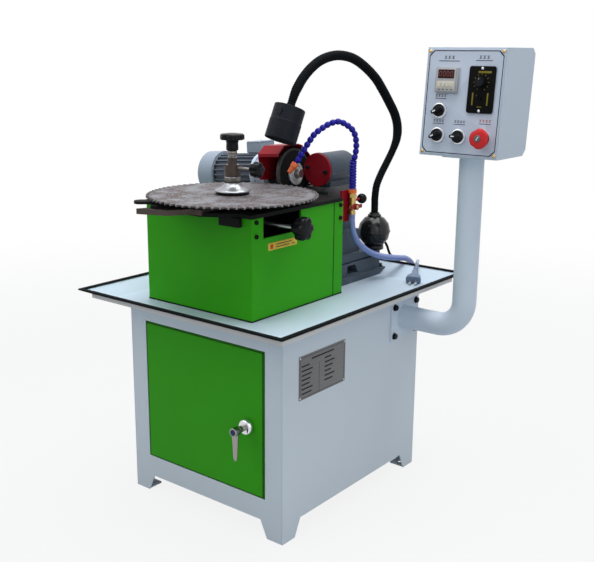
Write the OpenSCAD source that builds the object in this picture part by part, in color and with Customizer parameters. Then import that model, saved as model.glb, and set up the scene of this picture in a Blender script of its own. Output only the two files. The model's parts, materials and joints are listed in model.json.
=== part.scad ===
// Circular saw blade sharpener on a cabinet stand, with a swing-arm control box.
// Millimetres, +Z up, +X to the right of someone facing the door, +Y to the back.
// The origin is on the floor, midway between the four feet.

/* [Cabinet] */
// Width of the cabinet, left to right
cabinet_w = 425; // [400:5:460]
// Depth of the cabinet, front to back
cabinet_d = 495; // [470:5:540]
// Height of the cabinet up to the tray
cabinet_h = 425; // [415:5:460]
// Thickness of the cabinet's sheet steel
sheet = 2.5; // [2:0.25:3]
// Height of the cut-outs between the feet
leg_h = 38; // [30:1:45]
// Width of a foot at the floor
leg_w = 40; // [40:1:55]
// How far each side of a cut-out leans in
leg_lean = 18; // [0:1:30]
// Side of the square plate inside each foot
foot_s = 36; // [30:1:37]
// Thickness of the foot plates
foot_t = 4; // [3:0.5:8]
// Radius of the floor bolt holes
foot_hole_r = 6.5; // [5:0.25:8]
// Height of the shelf above the floor
shelf_z = 48; // [46:1:60]
// Width of the door
door_w = 330; // [300:2:340]
// Height of the door
door_h = 308; // [260:2:312]
// Height of the door's lower edge above the floor
door_z = 87; // [80:1:100]
// Depth of the door's folded edge
door_fold = 16; // [12:1:18]
// Gap between the door and the frame on its hinge side
hinge_gap = 2.4; // [2.3:0.1:4]
// Gap between the door and the frame elsewhere
door_gap = 2; // [1:0.25:4]
// Radius of the hinge pins
hinge_pin_r = 2; // [1.5:0.1:2.1]
// Height of the handle above the floor
handle_z = 233; // [180:1:300]
// Distance of the handle from the door's free edge
handle_in = 42; // [30:1:60]

/* [Tray] */
// How far the tray reaches out at each side
tray_over_x = 64; // [40:1:90]
// How far the tray reaches out at front and back
tray_over_y = 84; // [60:1:110]
// Height of the tray's rim above the cabinet
tray_rise = 38; // [30:1:50]
// Height of the tray's floor above the cabinet
tray_floor = 16; // [10:1:24]
// Thickness of the tray's floor
tray_t = 3; // [2:0.5:5]
// Width of the sloping wall, measured level
tray_wall = 4; // [3:0.5:6]
// Thickness of the rubber edging
edging_t = 3; // [2:0.5:5]
// Height of the rubber edging
edging_h = 10; // [6:1:14]

/* [Housing] */
// Width of the green housing with its side cover
housing_w = 292; // [286:2:310]
// Depth of the housing
housing_d = 301; // [296:1:315]
// Height of the housing above the tray's floor
housing_h = 206; // [201:1:211]
// Place of the housing's left face
housing_left = -174; // [-180:1:-170]
// Place of the housing's front face
housing_front = -228; // [-232:1:-224]
// Thickness of the housing's walls
housing_wall = 3; // [2:0.5:3.5]
// Thickness of the side cover
cover_t = 2; // [1:0.5:4]
// Width of the strip behind the side cover
strip_w = 33; // [20:1:45]
// Depth of the notch in the right side, from the top
notch_depth = 43; // [40:1:48]
// Length of the notch
notch_len = 119; // [114:1:130]
// Thickness of the table
table_t = 8; // [6:1:12]
// How far the table hangs over the housing
table_lip = 4; // [2:1:8]
// How far the table's nose reaches out in front
nose = 41; // [30:1:60]

/* [Blade and carriage] */
// Diameter of the saw blade
blade_d = 350; // [340:2:356]
// Number of teeth
teeth = 72; // [24:2:96]
// Depth of the gullets
gullet = 8; // [5:0.5:12]
// Thickness of the blade
blade_t = 2.8; // [2:0.2:4]
// Place of the blade's axis, left to right
blade_x = 3; // [-10:1:10]
// Radius of the post
post_r = 12.5; // [10:0.5:13]
// Width of the carriage plate where the table guides it
carriage_w = 82; // [76:1:90]
// Thickness of the carriage plate
carriage_t = 10.8; // [8:0.2:14]
// How far the carriage plate reaches in front of the post
carriage_reach = 188; // [180:1:210]
// Thickness of the seat under the blade
seat_t = 12.1; // [12:0.1:16]
// Radius of the seat under the blade
seat_r = 42; // [36:1:50]
// Radius of the cone flange
cone_r = 35; // [30:1:40]
// Height of the cone flange and its rings
cone_h = 36; // [34:1:44]
// Height of the collar
collar_h = 23.5; // [20:0.5:28]
// Radius of the collar
collar_r = 16.5; // [15:0.5:20]
// Radius of the clamp knob
clamp_knob_r = 25; // [20:1:30]
// Radius of the lock knob
lock_knob_r = 24; // [18:1:28]
// Radius of the collar knob
collar_knob_r = 16; // [12:1:18]

/* [Grinding head] */
// Radius of the grinding wheel
wheel_r = 57; // [55:0.5:58]
// Thickness of the grinding wheel
wheel_t = 8; // [5:0.5:10]
// Height of the wheel's centre above the blade
wheel_lift = 17; // [16:0.2:20]
// Place of the wheel, left to right
wheel_x = -22; // [-26:1:-20]
// Place of the wheel's centre, front to back
wheel_y = 76; // [74:1:80]
// Tilt of the grinding head, in degrees
head_tilt = 4.5; // [0:0.5:5]
// Radius of the motor over its fins
motor_r = 46; // [42:0.5:47]
// Length of the finned motor body
motor_len = 114; // [105:1:130]
// Radius of the fan cowl
cowl_r = 52; // [50:0.5:54]
// Length of the fan cowl
cowl_len = 52; // [45:1:60]
// Radius of the motor's shaft
shaft_r = 9; // [8:0.5:10]
// Radius of the gear motor
gear_r = 36; // [30:0.5:37]
// Length of the gear motor
gear_len = 104; // [90:1:108]
// Thickness of the wheel guard's sheet
guard_t = 3; // [2:0.5:4]
// Length of the wheel guard along the shaft
guard_len = 58; // [50:1:66]

/* [Stand] */
// Outer radius of the pipe
pipe_r = 25.5; // [20:0.5:28]
// Wall of the pipe
pipe_wall = 2.5; // [2:0.5:4]
// Radius of the pipe's bend
bend_r = 60; // [45:1:80]
// Distance of the upright from the cabinet's side
upright_out = 154.5; // [140:0.5:170]
// Place of the pipe, front to back
pipe_y = 174; // [170:1:176]
// Height of the pipe's lower run
pipe_z = 384; // [380:1:390]
// Width of the control box
box_w = 175; // [170:1:190]
// Height of the control box
box_h = 214; // [205:1:220]
// Depth of the control box
box_d = 124; // [110:1:136]
// Backward tilt of the control box, in degrees
box_tilt = 5.4; // [0:0.2:10]
// Height of the middle of the front panel
box_z = 862; // [855:1:890]
// Wall of the control box
box_wall = 2; // [1.5:0.25:3]
// Diameter of the stop button
stop_d = 40; // [32:1:44]
// Diameter of a selector knob
selector_d = 25; // [20:1:27]

/* [Lamp and coolant] */
// Radius of the lamp's round base
lamp_ball_r = 39; // [34:0.5:40]
// Radius of the lamp's neck
neck_r = 8.75; // [7.5:0.25:9]
// Radius of the lamp's head
lamp_r = 34.5; // [32:0.5:36]
// Length of the lamp's head
lamp_len = 74; // [66:1:76]
// Radius of the valve's body
valve_r = 9; // [8:0.5:10]
// Radius of a bead of the jointed hose
bead_r = 6.5; // [5.5:0.25:7.5]
// Radius of the supply hose
supply_r = 7; // [6:0.25:7.5]
// Radius of the lamp's cable
lamp_cable_r = 3; // [2.5:0.25:3.5]
// Radius of the mains lead
lead_r = 3.5; // [3:0.25:3.5]

/* [Hidden] */
$fn = 64;

// Clearances: a shaft in its bore, a piece that slides, and pieces that only pass each other
fit = 0.05;
slide_gap = 0.2;
pass_gap = 0.3;
seam = 0.1;
past = 1;

// Cabinet and tray
cx = cabinet_w / 2;
cy = cabinet_d / 2;
foot_x = cx - sheet - foot_s / 2;
foot_y = cy - sheet - foot_s / 2;
floor_z = cabinet_h + tray_floor;
rim_z = cabinet_h + tray_rise;
door_x0 = -door_w / 2;
door_x1 = door_w / 2;
door_top = door_z + door_h;
hinge_x = door_x0 + sheet + hinge_pin_r + 0.5;
hinge_y = -cy + sheet + hinge_pin_r + 0.2;
hinge_reach = 12;
hinge_leaf_t = 5;
handle_x = door_x1 - handle_in;
handle_boss_r = 17;
spindle_r = 8;
drain_r = 12;
drain_at = [-150, 200];

// Housing, table and carriage levels
housing_right = housing_left + housing_w;
housing_back = housing_front + housing_d;
housing_face = housing_right - cover_t;
housing_top = floor_z + housing_h;
seam_y = housing_back - strip_w;
table_top = housing_top + table_t;
channel_floor = 3;
carriage_z = housing_top + channel_floor + slide_gap;
carriage_shift = -14;
carriage_top = carriage_z + carriage_t;
seat_z = carriage_top + pass_gap;
blade_z = seat_z + seat_t;
blade_top = blade_z + blade_t;
blade_r = blade_d / 2;
collar_z = blade_top + cone_h + pass_gap;
collar_top = collar_z + collar_h;
thread_h = 15;
thread_r = 9.5;
post_top = collar_top + thread_h;
stud_r = 5;
stud_len = 45;
collar_screw_r = 3.5;
collar_screw_z = collar_top - 5;
lock_screw_r = 4;
lock_y = 14;
lock_z = housing_top - 24;
tongue_w = 26;
tongue_front = 24;
tongue_back = 46;
tongue_drop = 35;
travel = 45;

// Grinding head: the wheel's rim stops just short of the blade's rearmost tooth
wheel_gap = 0.5;
wheel_chord = sqrt(wheel_r * wheel_r - wheel_lift * wheel_lift);
blade_y = wheel_y - wheel_chord - wheel_gap - blade_r;
wheel_z = blade_top + wheel_lift;
wheel_clear = 17;
cut_x = wheel_x + 30;
cut_y = wheel_y - cowl_r + 2;
guard_open = 15;
guard_back = guard_open - guard_len;
upright_t = 13;
upright_x = guard_back - upright_t;
bell_len = 35;
bell_x = upright_x - bell_len;
motor_x = bell_x - motor_len;
cowl_x = motor_x - cowl_len;
head_stroke = 40;
saddle_front = 32;
saddle_len = 104;
saddle_y = wheel_y + saddle_front;
saddle_x0 = -60;
saddle_x1 = 52;
saddle_plate_t = 10;
saddle_top = wheel_z - 28.2;
rail_h = 15;
rail_top = saddle_top - 35;
rail_z = rail_top - rail_h;
rail_w = 50;
rail_flare = 6;
column_x0 = -55;
column_x1 = 62;
waist_x1 = 46;
waist_z = rail_z - 57;
block_h = 64;
block_top = floor_z + block_h;
foot_flange_h = 14;
block_x = 74;
block_y0 = wheel_y + 20;
block_y1 = block_y0 + 196;
gear_x = 25;
gear_y = saddle_y - 8;
gear_z = saddle_top + gear_r + 2;
gear_plate_t = 6;
gear_ring_t = 6;

// Control box
upright_at = cx + upright_out;
box_front = pipe_y - 54;
panel_t = 2;
box_chamfer = 12;
box_plate_t = 4;
box_low = box_z - box_h / 2 * cos(box_tilt);
flange_t = 5;
flange_y = 110;
flange_z = 88;
flange_at = [pipe_y + 8, pipe_z - 6];

// Lamp and coolant
lamp_at = [75, block_y1 - 30];
lamp_foot_h = 5;
lamp_ball_z = block_top + lamp_foot_h + lamp_ball_r - 1;
lamp_collar_h = 44;
valve_at = [96, saddle_y + 31];
valve_low = rail_z - 9;
valve_top = valve_low + 48;
valve_ring_h = 10;
bracket_t = 5;
bracket_x = valve_at.x - valve_r;
valve_stem_r = 4;
valve_handle_x = valve_at.x + valve_r + pass_gap;

// Routes chosen by hand. The neck and the jointed hose go with what they stand on
neck_points = [
    [75, 262, 592], [75, 262, 602], [75, 262, 612], [75, 262, 628], [76, 266, 655], [79, 279, 681],
    [83, 297, 708], [87, 314, 735], [90, 325, 762], [90, 326, 790], [88, 316, 818], [83, 298, 846],
    [78, 277, 874], [73, 253, 901], [65, 221, 926], [58, 188, 943], [50, 156, 950], [43, 126, 949],
    [36, 95, 940], [30, 69, 924], [25, 49, 905], [22, 36, 888], [20, 26, 872], [17, 16, 847]
];
neck_shift = [lamp_at.x, lamp_at.y, lamp_ball_z + lamp_collar_h] - neck_points[0];
neck_route = [for (p = neck_points) p + neck_shift];
hose_points = [
    [96, 139, 664], [96, 139, 680], [96, 139, 700], [96, 139, 720], [98, 143, 738], [99, 145, 756],
    [98, 143, 776], [94, 137, 792], [86, 124, 804], [76, 109, 811], [65, 92, 807], [55, 76, 797],
    [46, 62, 785], [40, 52, 770], [34, 43, 754], [28, 34, 737], [24, 28, 726]
];
hose_shift = [valve_at.x, valve_at.y, valve_top + valve_ring_h] - hose_points[0];
hose_route = [for (p = hose_points) p + hose_shift];
nozzle_tip = [15, 13, 704] + hose_shift;
supply_route = [
    [96, 139, 606], [96, 139, 598], [96, 139, 590], [97, 143, 566], [101, 156, 542], [106, 178, 522],
    [111, 207, 506], [115, 240, 495], [118, 275, 487], [120, 310, 480], [120, 335, 475], [120, 362, 460],
    [120, 382, 432], [120, 384, 400], [120, 368, 372], [120, 338, 358], [120, 305, 355], [120, 284, 355],
    [120, 270, 355], [120, 256, 355]
];
lamp_cable_route = [
    [75, 299, 517], [75, 303, 517], [75, 307, 517], [77, 318, 503], [81, 325, 483], [86, 335, 473],
    [91, 350, 463], [93, 358, 440], [90, 352, 412], [84, 336, 392], [76, 310, 383], [70, 288, 380],
    [70, 272, 380], [70, 256, 380]
];
lead_low_route = [
    [-150, 270, 70], [-150, 284, 70], [-149, 303, 64], [-145, 318, 48], [-137, 326, 28], [-124, 325, 11],
    [-106, 314, 5], [-88, 300, 5], [-68, 287, 5], [-46, 277, 5], [-28, 274, 5], [-12, 274, 5], [3, 274, 5]
];
lead_high_route = [
    [37, 274, 13], [45, 274, 13], [53, 274, 13], [74, 278, 9], [96, 287, 5], [114, 301, 4], [125, 319, 6],
    [131, 335, 18], [134, 346, 40], [136, 352, 72], [136, 354, 120], [136, 354, 180],
    [136, 354, 250], [136, 354, 320], [136, 354, 390], [136, 354, 420], [138, 354, 444], [144, 349, 463],
    [152, 340, 472.5], [158, 330, 474], [161, 323, 472.5], [163, 319, 471.2], [165, 315, 470]
];
coil_at = [20, 320];
coil_outer = 46;
coil_turns = 5;
coil_pitch = 8;
coil_low = 5;
coil_rise = 8;
coil_rings = 24;
coil_lead_in = 17;

// Colours
white = "#e9eef1";
green = "#3d9a2b";
black = "#1b1c1f";
slate = "#4a525b";
grey = "#9aa1a6";
steel = "#c3c6c9";
rust = "#5d4638";
aged = "#6e6258";
red = "#b3202c";
brass = "#b58a3c";
orange = "#ee7a2a";
blue = "#2c35b8";
lavender = "#98a3d8";

// Half the tray's size, level by level
function tray_half(z) = [
    cx + tray_over_x * (z - cabinet_h) / tray_rise,
    cy + tray_over_y * (z - cabinet_h) / tray_rise
];
function unit(v) = v / norm(v);
function along(path, i) = unit(path[min(i + 1, len(path) - 1)] - path[max(i - 1, 0)]);
function upright_to(v, t) = unit(v - t * (v * t));
function seed(t) = upright_to(abs(t.z) < 0.9 ? [0, 0, 1] : [1, 0, 0], t);

// A point on a smooth curve through the points of a route
function curve_point(p, i, s) =
    let (a = p[max(i - 1, 0)], b = p[i], c = p[i + 1], d = p[min(i + 2, len(p) - 1)])
    0.5 * (2 * b + (c - a) * s + (2 * a - 5 * b + 4 * c - d) * s * s + (3 * b - a - 3 * c + d) * s * s * s);
function curve(p, steps) = [
    for (i = [0 : len(p) - 2], k = [0 : steps - 1]) curve_point(p, i, k / steps),
    p[len(p) - 1]
];

// Directions across a path that turn with it and never twist
function across(path) = [
    for (i = 0, n = seed(along(path, 0)); i < len(path);
        i = i + 1, n = i < len(path) ? upright_to(n, along(path, i)) : n) n
];

// Rings of points round a path, with a radius for each ring
function rings(path, radii, sides) =
    let (n = across(path))
    [
        for (i = [0 : len(path) - 1], k = [0 : sides - 1])
            let (t = along(path, i), a = 360 * k / sides)
            path[i] + radii[i] * (cos(a) * n[i] + sin(a) * cross(t, n[i]))
    ];
function skin(count, sides, first, turned) = [
    for (i = [0 : count - 2], k = [0 : sides - 1])
        let (a = first + i * sides + k, b = first + i * sides + (k + 1) % sides)
        each turned
            ? [[a, b, b + sides], [a, b + sides, a + sides]]
            : [[a, b + sides, b], [a, a + sides, b + sides]]
];
function same(value, count) = [for (i = [1 : count]) value];

// The least clear distance between a tube and its own other turns
function self_gap(path, r, skip) = min([
    for (i = [0 : len(path) - skip - 1], j = [i + skip : len(path) - 1]) norm(path[i] - path[j]) - 2 * r
]);

// A coil in two layers: it winds in, climbs in the half turn where it reverses, and winds out again
function coil_radius(t) = coil_outer - coil_pitch * min(t, coil_turns - t);
function climb(t) = min(max((t - coil_turns / 2) * 2 + 0.5, 0), 1);
function coil_point(t) = [
    coil_at.x + coil_radius(t) * sin(360 * t),
    coil_at.y - coil_radius(t) * cos(360 * t),
    coil_low + coil_rise * climb(t)
];
coil_path = [
    [coil_at.x - coil_lead_in, coil_at.y - coil_outer, coil_low],
    [coil_at.x - coil_lead_in / 2, coil_at.y - coil_outer, coil_low],
    for (k = [0 : coil_turns * coil_rings]) coil_point(k / coil_rings),
    [coil_at.x + coil_lead_in / 2, coil_at.y - coil_outer, coil_low + coil_rise],
    [coil_at.x + coil_lead_in, coil_at.y - coil_outer, coil_low + coil_rise]
];
echo(least_coil_gap = self_gap(coil_path, lead_r, coil_rings / 2));

module slab(low, high) translate(low) cube(high - low);
module rod_x(r, x0, x1, y, z) translate([x0, y, z]) rotate([0, 90, 0]) cylinder(r = r, h = x1 - x0);
module rod_y(r, y0, y1, x, z) translate([x, y1, z]) rotate([90, 0, 0]) cylinder(r = r, h = y1 - y0);
module rod_z(r, z0, z1, x, y) translate([x, y, z0]) cylinder(r = r, h = z1 - z0);
module along_x(x0, x1) translate([x0, 0, 0]) rotate([90, 0, 90]) linear_extrude(x1 - x0) children();
module along_y(y0, y1) translate([0, y1, 0]) rotate([90, 0, 0]) linear_extrude(y1 - y0) children();
module frustum(a, b, z0, z1) polyhedron(
    points = [
        for (h = [[a, z0], [b, z1]], s = [[-1, -1], [1, -1], [1, 1], [-1, 1]])
            [h[0].x * s.x, h[0].y * s.y, h[1]]
    ],
    faces = [[0, 1, 2, 3], [7, 6, 5, 4], [0, 4, 5, 1], [1, 5, 6, 2], [2, 6, 7, 3], [3, 7, 4, 0]]
);
module tube(path, r, sides) polyhedron(
    points = rings(path, is_list(r) ? r : same(r, len(path)), sides),
    faces = [
        [for (k = [0 : sides - 1]) k],
        each skin(len(path), sides, 0, false),
        [for (k = [sides - 1 : -1 : 0]) (len(path) - 1) * sides + k]
    ]
);
module hollow_tube(path, radii, bore, sides) {
    last = len(path) - 1;
    inner = len(path) * sides;
    polyhedron(
        points = concat(rings(path, radii, sides), rings(path, same(bore, len(path)), sides)),
        faces = [
            each skin(len(path), sides, 0, false),
            each skin(len(path), sides, inner, true),
            for (k = [0 : sides - 1]) let (n = (k + 1) % sides) each [
                [k, n, inner + n], [k, inner + n, inner + k],
                [last * sides + k, inner + last * sides + n, last * sides + n],
                [last * sides + k, inner + last * sides + k, inner + last * sides + n]
            ]
        ]
    );
}
module star(r, h, lobes) {
    cylinder(r = r * 0.8, h = h);
    for (i = [0 : lobes - 1])
        rotate(360 * i / lobes) translate([r * 0.72, 0, 0]) cylinder(r = r * 0.28, h = h);
}
module bar(a, b, r, bore, z0, z1) translate([a.x, a.y, z0]) linear_extrude(z1 - z0) difference() {
    union() {
        circle(r = r);
        rotate(atan2(b.y - a.y, b.x - a.x)) translate([0, -0.98 * r]) square([norm(b - a), 1.96 * r]);
        translate([b.x - a.x, b.y - a.y]) circle(r = r);
    }
    circle(r = bore);
}
module at_blade() translate([blade_x, blade_y, 0]) children();
module at_head() translate([wheel_x, wheel_y, wheel_z]) rotate([0, -head_tilt, 0]) children();
module at_panel() translate([upright_at, box_front, box_z]) rotate([-box_tilt, 0, 0]) children();

// Cabinet
module leg_cut(half) polygon([
    [-half + leg_w, -past], [-half + leg_w + leg_lean, leg_h],
    [half - leg_w - leg_lean, leg_h], [half - leg_w, -past]
]);
// Five sheets that meet at fine seams, with the foot plates on the two side sheets
module cabinet_shell() color(white) {
    sheet_top = cabinet_h - sheet - seam;
    inner = cx - sheet - seam;
    difference() {
        union() {
            for (x = [-cx, cx - sheet]) slab([x, -cy, 0], [x + sheet, cy, sheet_top]);
            for (x = [-foot_x, foot_x], y = [-foot_y, foot_y])
                translate([x - foot_s / 2, y - foot_s / 2 + seam, 0])
                    cube([foot_s, foot_s - 2 * seam, foot_t]);
        }
        along_x(-cx - past, cx + past) leg_cut(cy);
        for (x = [-foot_x, foot_x], y = [-foot_y, foot_y]) rod_z(foot_hole_r, -past, foot_t + past, x, y);
    }
    difference() {
        for (y = [-cy, cy - sheet]) slab([-inner, y, 0], [inner, y + sheet, sheet_top]);
        along_y(-cy - past, cy + past) leg_cut(cx);
        slab(
            [door_x0 - hinge_gap, -cy - past, door_z - door_gap],
            [door_x1 + door_gap, -cy + sheet + past, door_top + door_gap]
        );
    }
    difference() {
        slab([-cx, -cy, cabinet_h - sheet], [cx, cy, cabinet_h]);
        rod_z(drain_r + 4, cabinet_h - sheet - past, cabinet_h + past, drain_at.x, drain_at.y);
    }
}
module cabinet_shelf() color(white)
    slab([-cx + sheet, -cy + sheet, shelf_z], [cx - sheet, cy - sheet, shelf_z + sheet]);
module door_hinges() color(steel) {
    for (z = [door_top + door_gap, door_z - door_gap - hinge_leaf_t])
        slab(
            [hinge_x - hinge_reach, -cy + sheet, z],
            [hinge_x + hinge_reach, hinge_y + hinge_reach, z + hinge_leaf_t]
        );
    rod_z(hinge_pin_r, door_top - hinge_reach, door_top + door_gap + past, hinge_x, hinge_y);
    rod_z(hinge_pin_r, door_z - door_gap - past, door_z + hinge_reach, hinge_x, hinge_y);
}
module cabinet_door() color(green) difference() {
    slab([door_x0, -cy, door_z], [door_x1, -cy + door_fold, door_top]);
    slab(
        [door_x0 + sheet, -cy + sheet, door_z + sheet],
        [door_x1 - sheet, -cy + door_fold + past, door_top - sheet]
    );
    rod_z(hinge_pin_r + fit, door_z - past, door_top + past, hinge_x, hinge_y);
    rod_y(spindle_r + fit, -cy - past, -cy + sheet + past, handle_x, handle_z);
}
lever_proud = 38;
lever_len = 62;
lever_r = 6.5;
cam_len = 62;
cam_t = 4;
module handle_lever() color(steel) {
    rod_y(handle_boss_r, -cy - 12, -cy - pass_gap, handle_x, handle_z);
    rod_y(spindle_r, -cy - lever_proud, -cy + door_fold + past + cam_t, handle_x, handle_z);
    translate([0, -cy - lever_proud, handle_z]) {
        translate([handle_x, 0, 0]) sphere(r = lever_r + 3);
        rod_z(lever_r, -lever_len, 0, handle_x, 0);
    }
    translate([handle_x - spindle_r, -cy + door_fold + past, handle_z - cam_len])
        cube([2 * spindle_r, cam_t, cam_len]);
}

// Tray
module tray() color(white) difference() {
    frustum(tray_half(cabinet_h), tray_half(rim_z), cabinet_h, rim_z);
    frustum(
        tray_half(floor_z) - [tray_wall, tray_wall], tray_half(rim_z + past) - [tray_wall, tray_wall],
        floor_z, rim_z + past
    );
    slab([-cx + sheet, -cy + sheet, cabinet_h - past], [cx - sheet, cy - sheet, floor_z - tray_t]);
    rod_z(drain_r, cabinet_h, floor_z + past, drain_at.x, drain_at.y);
}
module tray_edging() color(black) {
    low = rim_z - edging_h;
    high = rim_z + edging_t;
    grow = [edging_t, edging_t];
    outer = tray_half(rim_z) + grow;
    lip = tray_half(rim_z) - [tray_wall + 3, tray_wall + 3];
    difference() {
        frustum(tray_half(low) + grow, outer, low, rim_z);
        frustum(tray_half(cabinet_h), tray_half(rim_z + past), cabinet_h, rim_z + past);
    }
    difference() {
        slab([-outer.x, -outer.y, rim_z], [outer.x, outer.y, high]);
        slab([-lip.x, -lip.y, rim_z - past], [lip.x, lip.y, high + past]);
    }
}

// Coolant tank on the shelf, six plates with fine seams, with its pump on the lid
tank_low = [-110, -60, 0];
tank_high = [160, 170, 130];
tank_wall = 3;
pump_r = 38;
pump_h = 95;
pump_y = 60;
pipe_end = supply_route[len(supply_route) - 1];
module coolant_unit() color(grey) {
    base = shelf_z + sheet;
    lid = base + tank_high.z;
    side_top = lid - tank_wall - seam;
    low = tank_low + [tank_wall + seam, 0, 0];
    high = tank_high - [tank_wall + seam, 0, 0];
    slab([low.x, low.y + tank_wall + seam, base], [high.x, high.y - tank_wall - seam, base + tank_wall]);
    for (x = [tank_low.x, tank_high.x - tank_wall])
        slab([x, tank_low.y, base], [x + tank_wall, tank_high.y, side_top]);
    for (y = [tank_low.y, tank_high.y - tank_wall]) slab([low.x, y, base], [high.x, y + tank_wall, side_top]);
    difference() {
        slab([tank_low.x, tank_low.y, lid - tank_wall], [tank_high.x, tank_high.y, lid]);
        rod_z(pump_r / 2, lid - tank_wall - past, lid + past, tank_low.x + 60, 110);
    }
    rod_z(pump_r + 8, lid + seam, lid + 8, pipe_end.x, pump_y);
    rod_z(pump_r, lid + seam, lid + pump_h, pipe_end.x, pump_y);
    rod_z(supply_r, lid + pump_h - past, pipe_end.z, pipe_end.x, pump_y);
    translate([pipe_end.x, pump_y, pipe_end.z]) sphere(r = supply_r);
    rod_y(supply_r, pump_y, cy - sheet, pipe_end.x, pipe_end.z);
}

// Housing
notch_y0 = housing_front + 35;
module notch(x0, x1)
    slab([x0, notch_y0, housing_top - notch_depth], [x1, notch_y0 + notch_len, housing_top + past]);
module housing() color(green) difference() {
    union() {
        slab([housing_left, housing_front, floor_z], [housing_face, housing_back, housing_top]);
        slab([housing_face, seam_y + past, floor_z], [housing_right, housing_back, housing_top]);
    }
    slab(
        [housing_left + housing_wall, housing_front + housing_wall, floor_z - past],
        [housing_face - housing_wall, housing_back - housing_wall, housing_top + past]
    );
    notch(housing_face - housing_wall - past, housing_right + past);
    slab(
        [housing_left - past, cut_y, housing_top - wheel_clear],
        [cut_x, housing_back + past, housing_top + past]
    );
}
module side_cover() color(green) difference() {
    slab([housing_face, housing_front, floor_z + past], [housing_right, seam_y, housing_top]);
    notch(housing_face - past, housing_right + past);
}
screw_head_r = 4.5;
screw_head_h = 4;
module cover_screws() color(black) {
    for (y = [housing_front + 13, housing_back - 11], z = [8, 36])
        rod_x(screw_head_r, housing_right, housing_right + screw_head_h, y, housing_top - z);
    for (y = [-1, 1], z = [-1, 1])
        rod_x(
            screw_head_r + 2, cx + flange_t, cx + flange_t + 7,
            flange_at.x + y * (flange_y / 2 - 11), flange_at.y + z * (flange_z / 2 - 11)
        );
}
module table_plate() color(black) {
    x0 = housing_left - table_lip;
    x1 = housing_right + table_lip;
    y0 = housing_front - table_lip;
    y1 = housing_back - 7;
    guide = carriage_w / 2 + slide_gap;
    difference() {
        translate([0, 0, housing_top]) linear_extrude(table_t) difference() {
            polygon([
                [x0, y0], [blade_x - 113, y0], [blade_x - 63, y0 - nose], [blade_x + 22, y0 - nose],
                [blade_x + 85, y0], [x1, y0], [x1, y1], [cut_x, y1], [cut_x, cut_y], [x0, cut_y]
            ]);
            translate([blade_x - tongue_w / 2 - slide_gap, blade_y - tongue_front - travel - past])
                square([tongue_w + 2 * slide_gap, tongue_front + tongue_back + travel + 2 * past]);
        }
        slab(
            [blade_x + carriage_shift - guide, y0 - nose - past, housing_top + channel_floor],
            [blade_x + carriage_shift + guide, blade_y + carriage_back + slide_gap, table_top + past]
        );
    }
    slab([blade_x + 40, housing_front - 12, housing_top - 18], [blade_x + 91, housing_front, housing_top]);
}

// Carriage, post and blade
carriage_back = 70;
pivot = [-28, -108];
pawl_tip = [-93, -164];
finger_tip = [-56, -157];
pawl_r = 14;
pivot_r = 5;
pawl_t = 5.6;
// The front of the plate is cranked to the left, so that the pawl meets the teeth
crank_len = 68;
crank = [
    [-81, -carriage_reach], [-19, -carriage_reach + 22], [4, -carriage_reach + crank_len - 6],
    [carriage_shift + carriage_w / 2, -carriage_reach + crank_len],
    [carriage_shift - carriage_w / 2, -carriage_reach + crank_len]
];
module carriage_plate() color(rust) at_blade() {
    w = carriage_w / 2;
    difference() {
        union() {
            translate([0, 0, carriage_z]) linear_extrude(carriage_t) {
                polygon(crank);
                translate([carriage_shift - w, -carriage_reach + crank_len])
                    square([carriage_w, carriage_reach - crank_len + carriage_back]);
            }
            slab(
                [-tongue_w / 2, -tongue_front, housing_top - tongue_drop],
                [tongue_w / 2, tongue_back, carriage_z + past]
            );
            rod_z(pivot_r, carriage_top - past, carriage_top + 2 * pawl_t + pass_gap, pivot.x, pivot.y);
        }
        rod_z(post_r + fit, carriage_z - past - tongue_drop, carriage_top + past, 0, 0);
        rod_x(lock_screw_r + fit, 0, tongue_w, lock_y, lock_z);
    }
}
module blade_post() color(steel) at_blade() difference() {
    union() {
        rod_z(post_r, carriage_z, collar_top, 0, 0);
        rod_z(thread_r, collar_top, post_top, 0, 0);
    }
    rod_z(stud_r + fit, post_top - stud_len - past, post_top + past, 0, 0);
}
module post_collar() color(rust) at_blade() difference() {
    rod_z(collar_r, collar_z, collar_top, 0, 0);
    rod_z(post_r + fit, collar_z - past, collar_top + past, 0, 0);
    rod_x(collar_screw_r + fit, 0, collar_r + past, 0, collar_screw_z);
}
collar_knob_x = collar_r + 34;
module collar_knob() color(black) at_blade() {
    rod_x(collar_screw_r, post_r + pass_gap, collar_knob_x + past, 0, collar_screw_z);
    translate([collar_knob_x, 0, collar_screw_z]) rotate([0, 90, 0]) {
        cylinder(r = collar_knob_r * 0.55, h = 12);
        translate([0, 0, 8]) star(collar_knob_r, 16, 5);
    }
}
clamp_neck_h = 12;
clamp_stem_h = 24;
clamp_cap_h = 13;
module clamp_knob() color(black) at_blade() {
    z0 = post_top + pass_gap;
    rod_z(stud_r, post_top - stud_len, z0 + past, 0, 0);
    rod_z(thread_r + 0.5, z0, z0 + clamp_neck_h, 0, 0);
    rod_z(12.25, z0 + clamp_neck_h, z0 + clamp_neck_h + clamp_stem_h, 0, 0);
    translate([0, 0, z0 + clamp_neck_h + clamp_stem_h]) star(clamp_knob_r, clamp_cap_h, 6);
}
lock_knob_x = housing_right + 40;
module lock_knob() color(black) {
    y = blade_y + lock_y;
    rod_x(lock_screw_r, blade_x + past, lock_knob_x + past, y, lock_z);
    translate([lock_knob_x, y, lock_z]) rotate([0, 90, 0]) {
        cylinder(r = lock_knob_r / 2, h = 12);
        translate([0, 0, 8]) star(lock_knob_r, 20, 6);
    }
}
module blade_seat() color(steel) at_blade() difference() {
    rod_z(seat_r, seat_z, blade_z, 0, 0);
    rod_z(post_r + fit, seat_z - past, blade_z + past, 0, 0);
}
function polar(r, a) = [r * cos(a), r * sin(a)];
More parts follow.
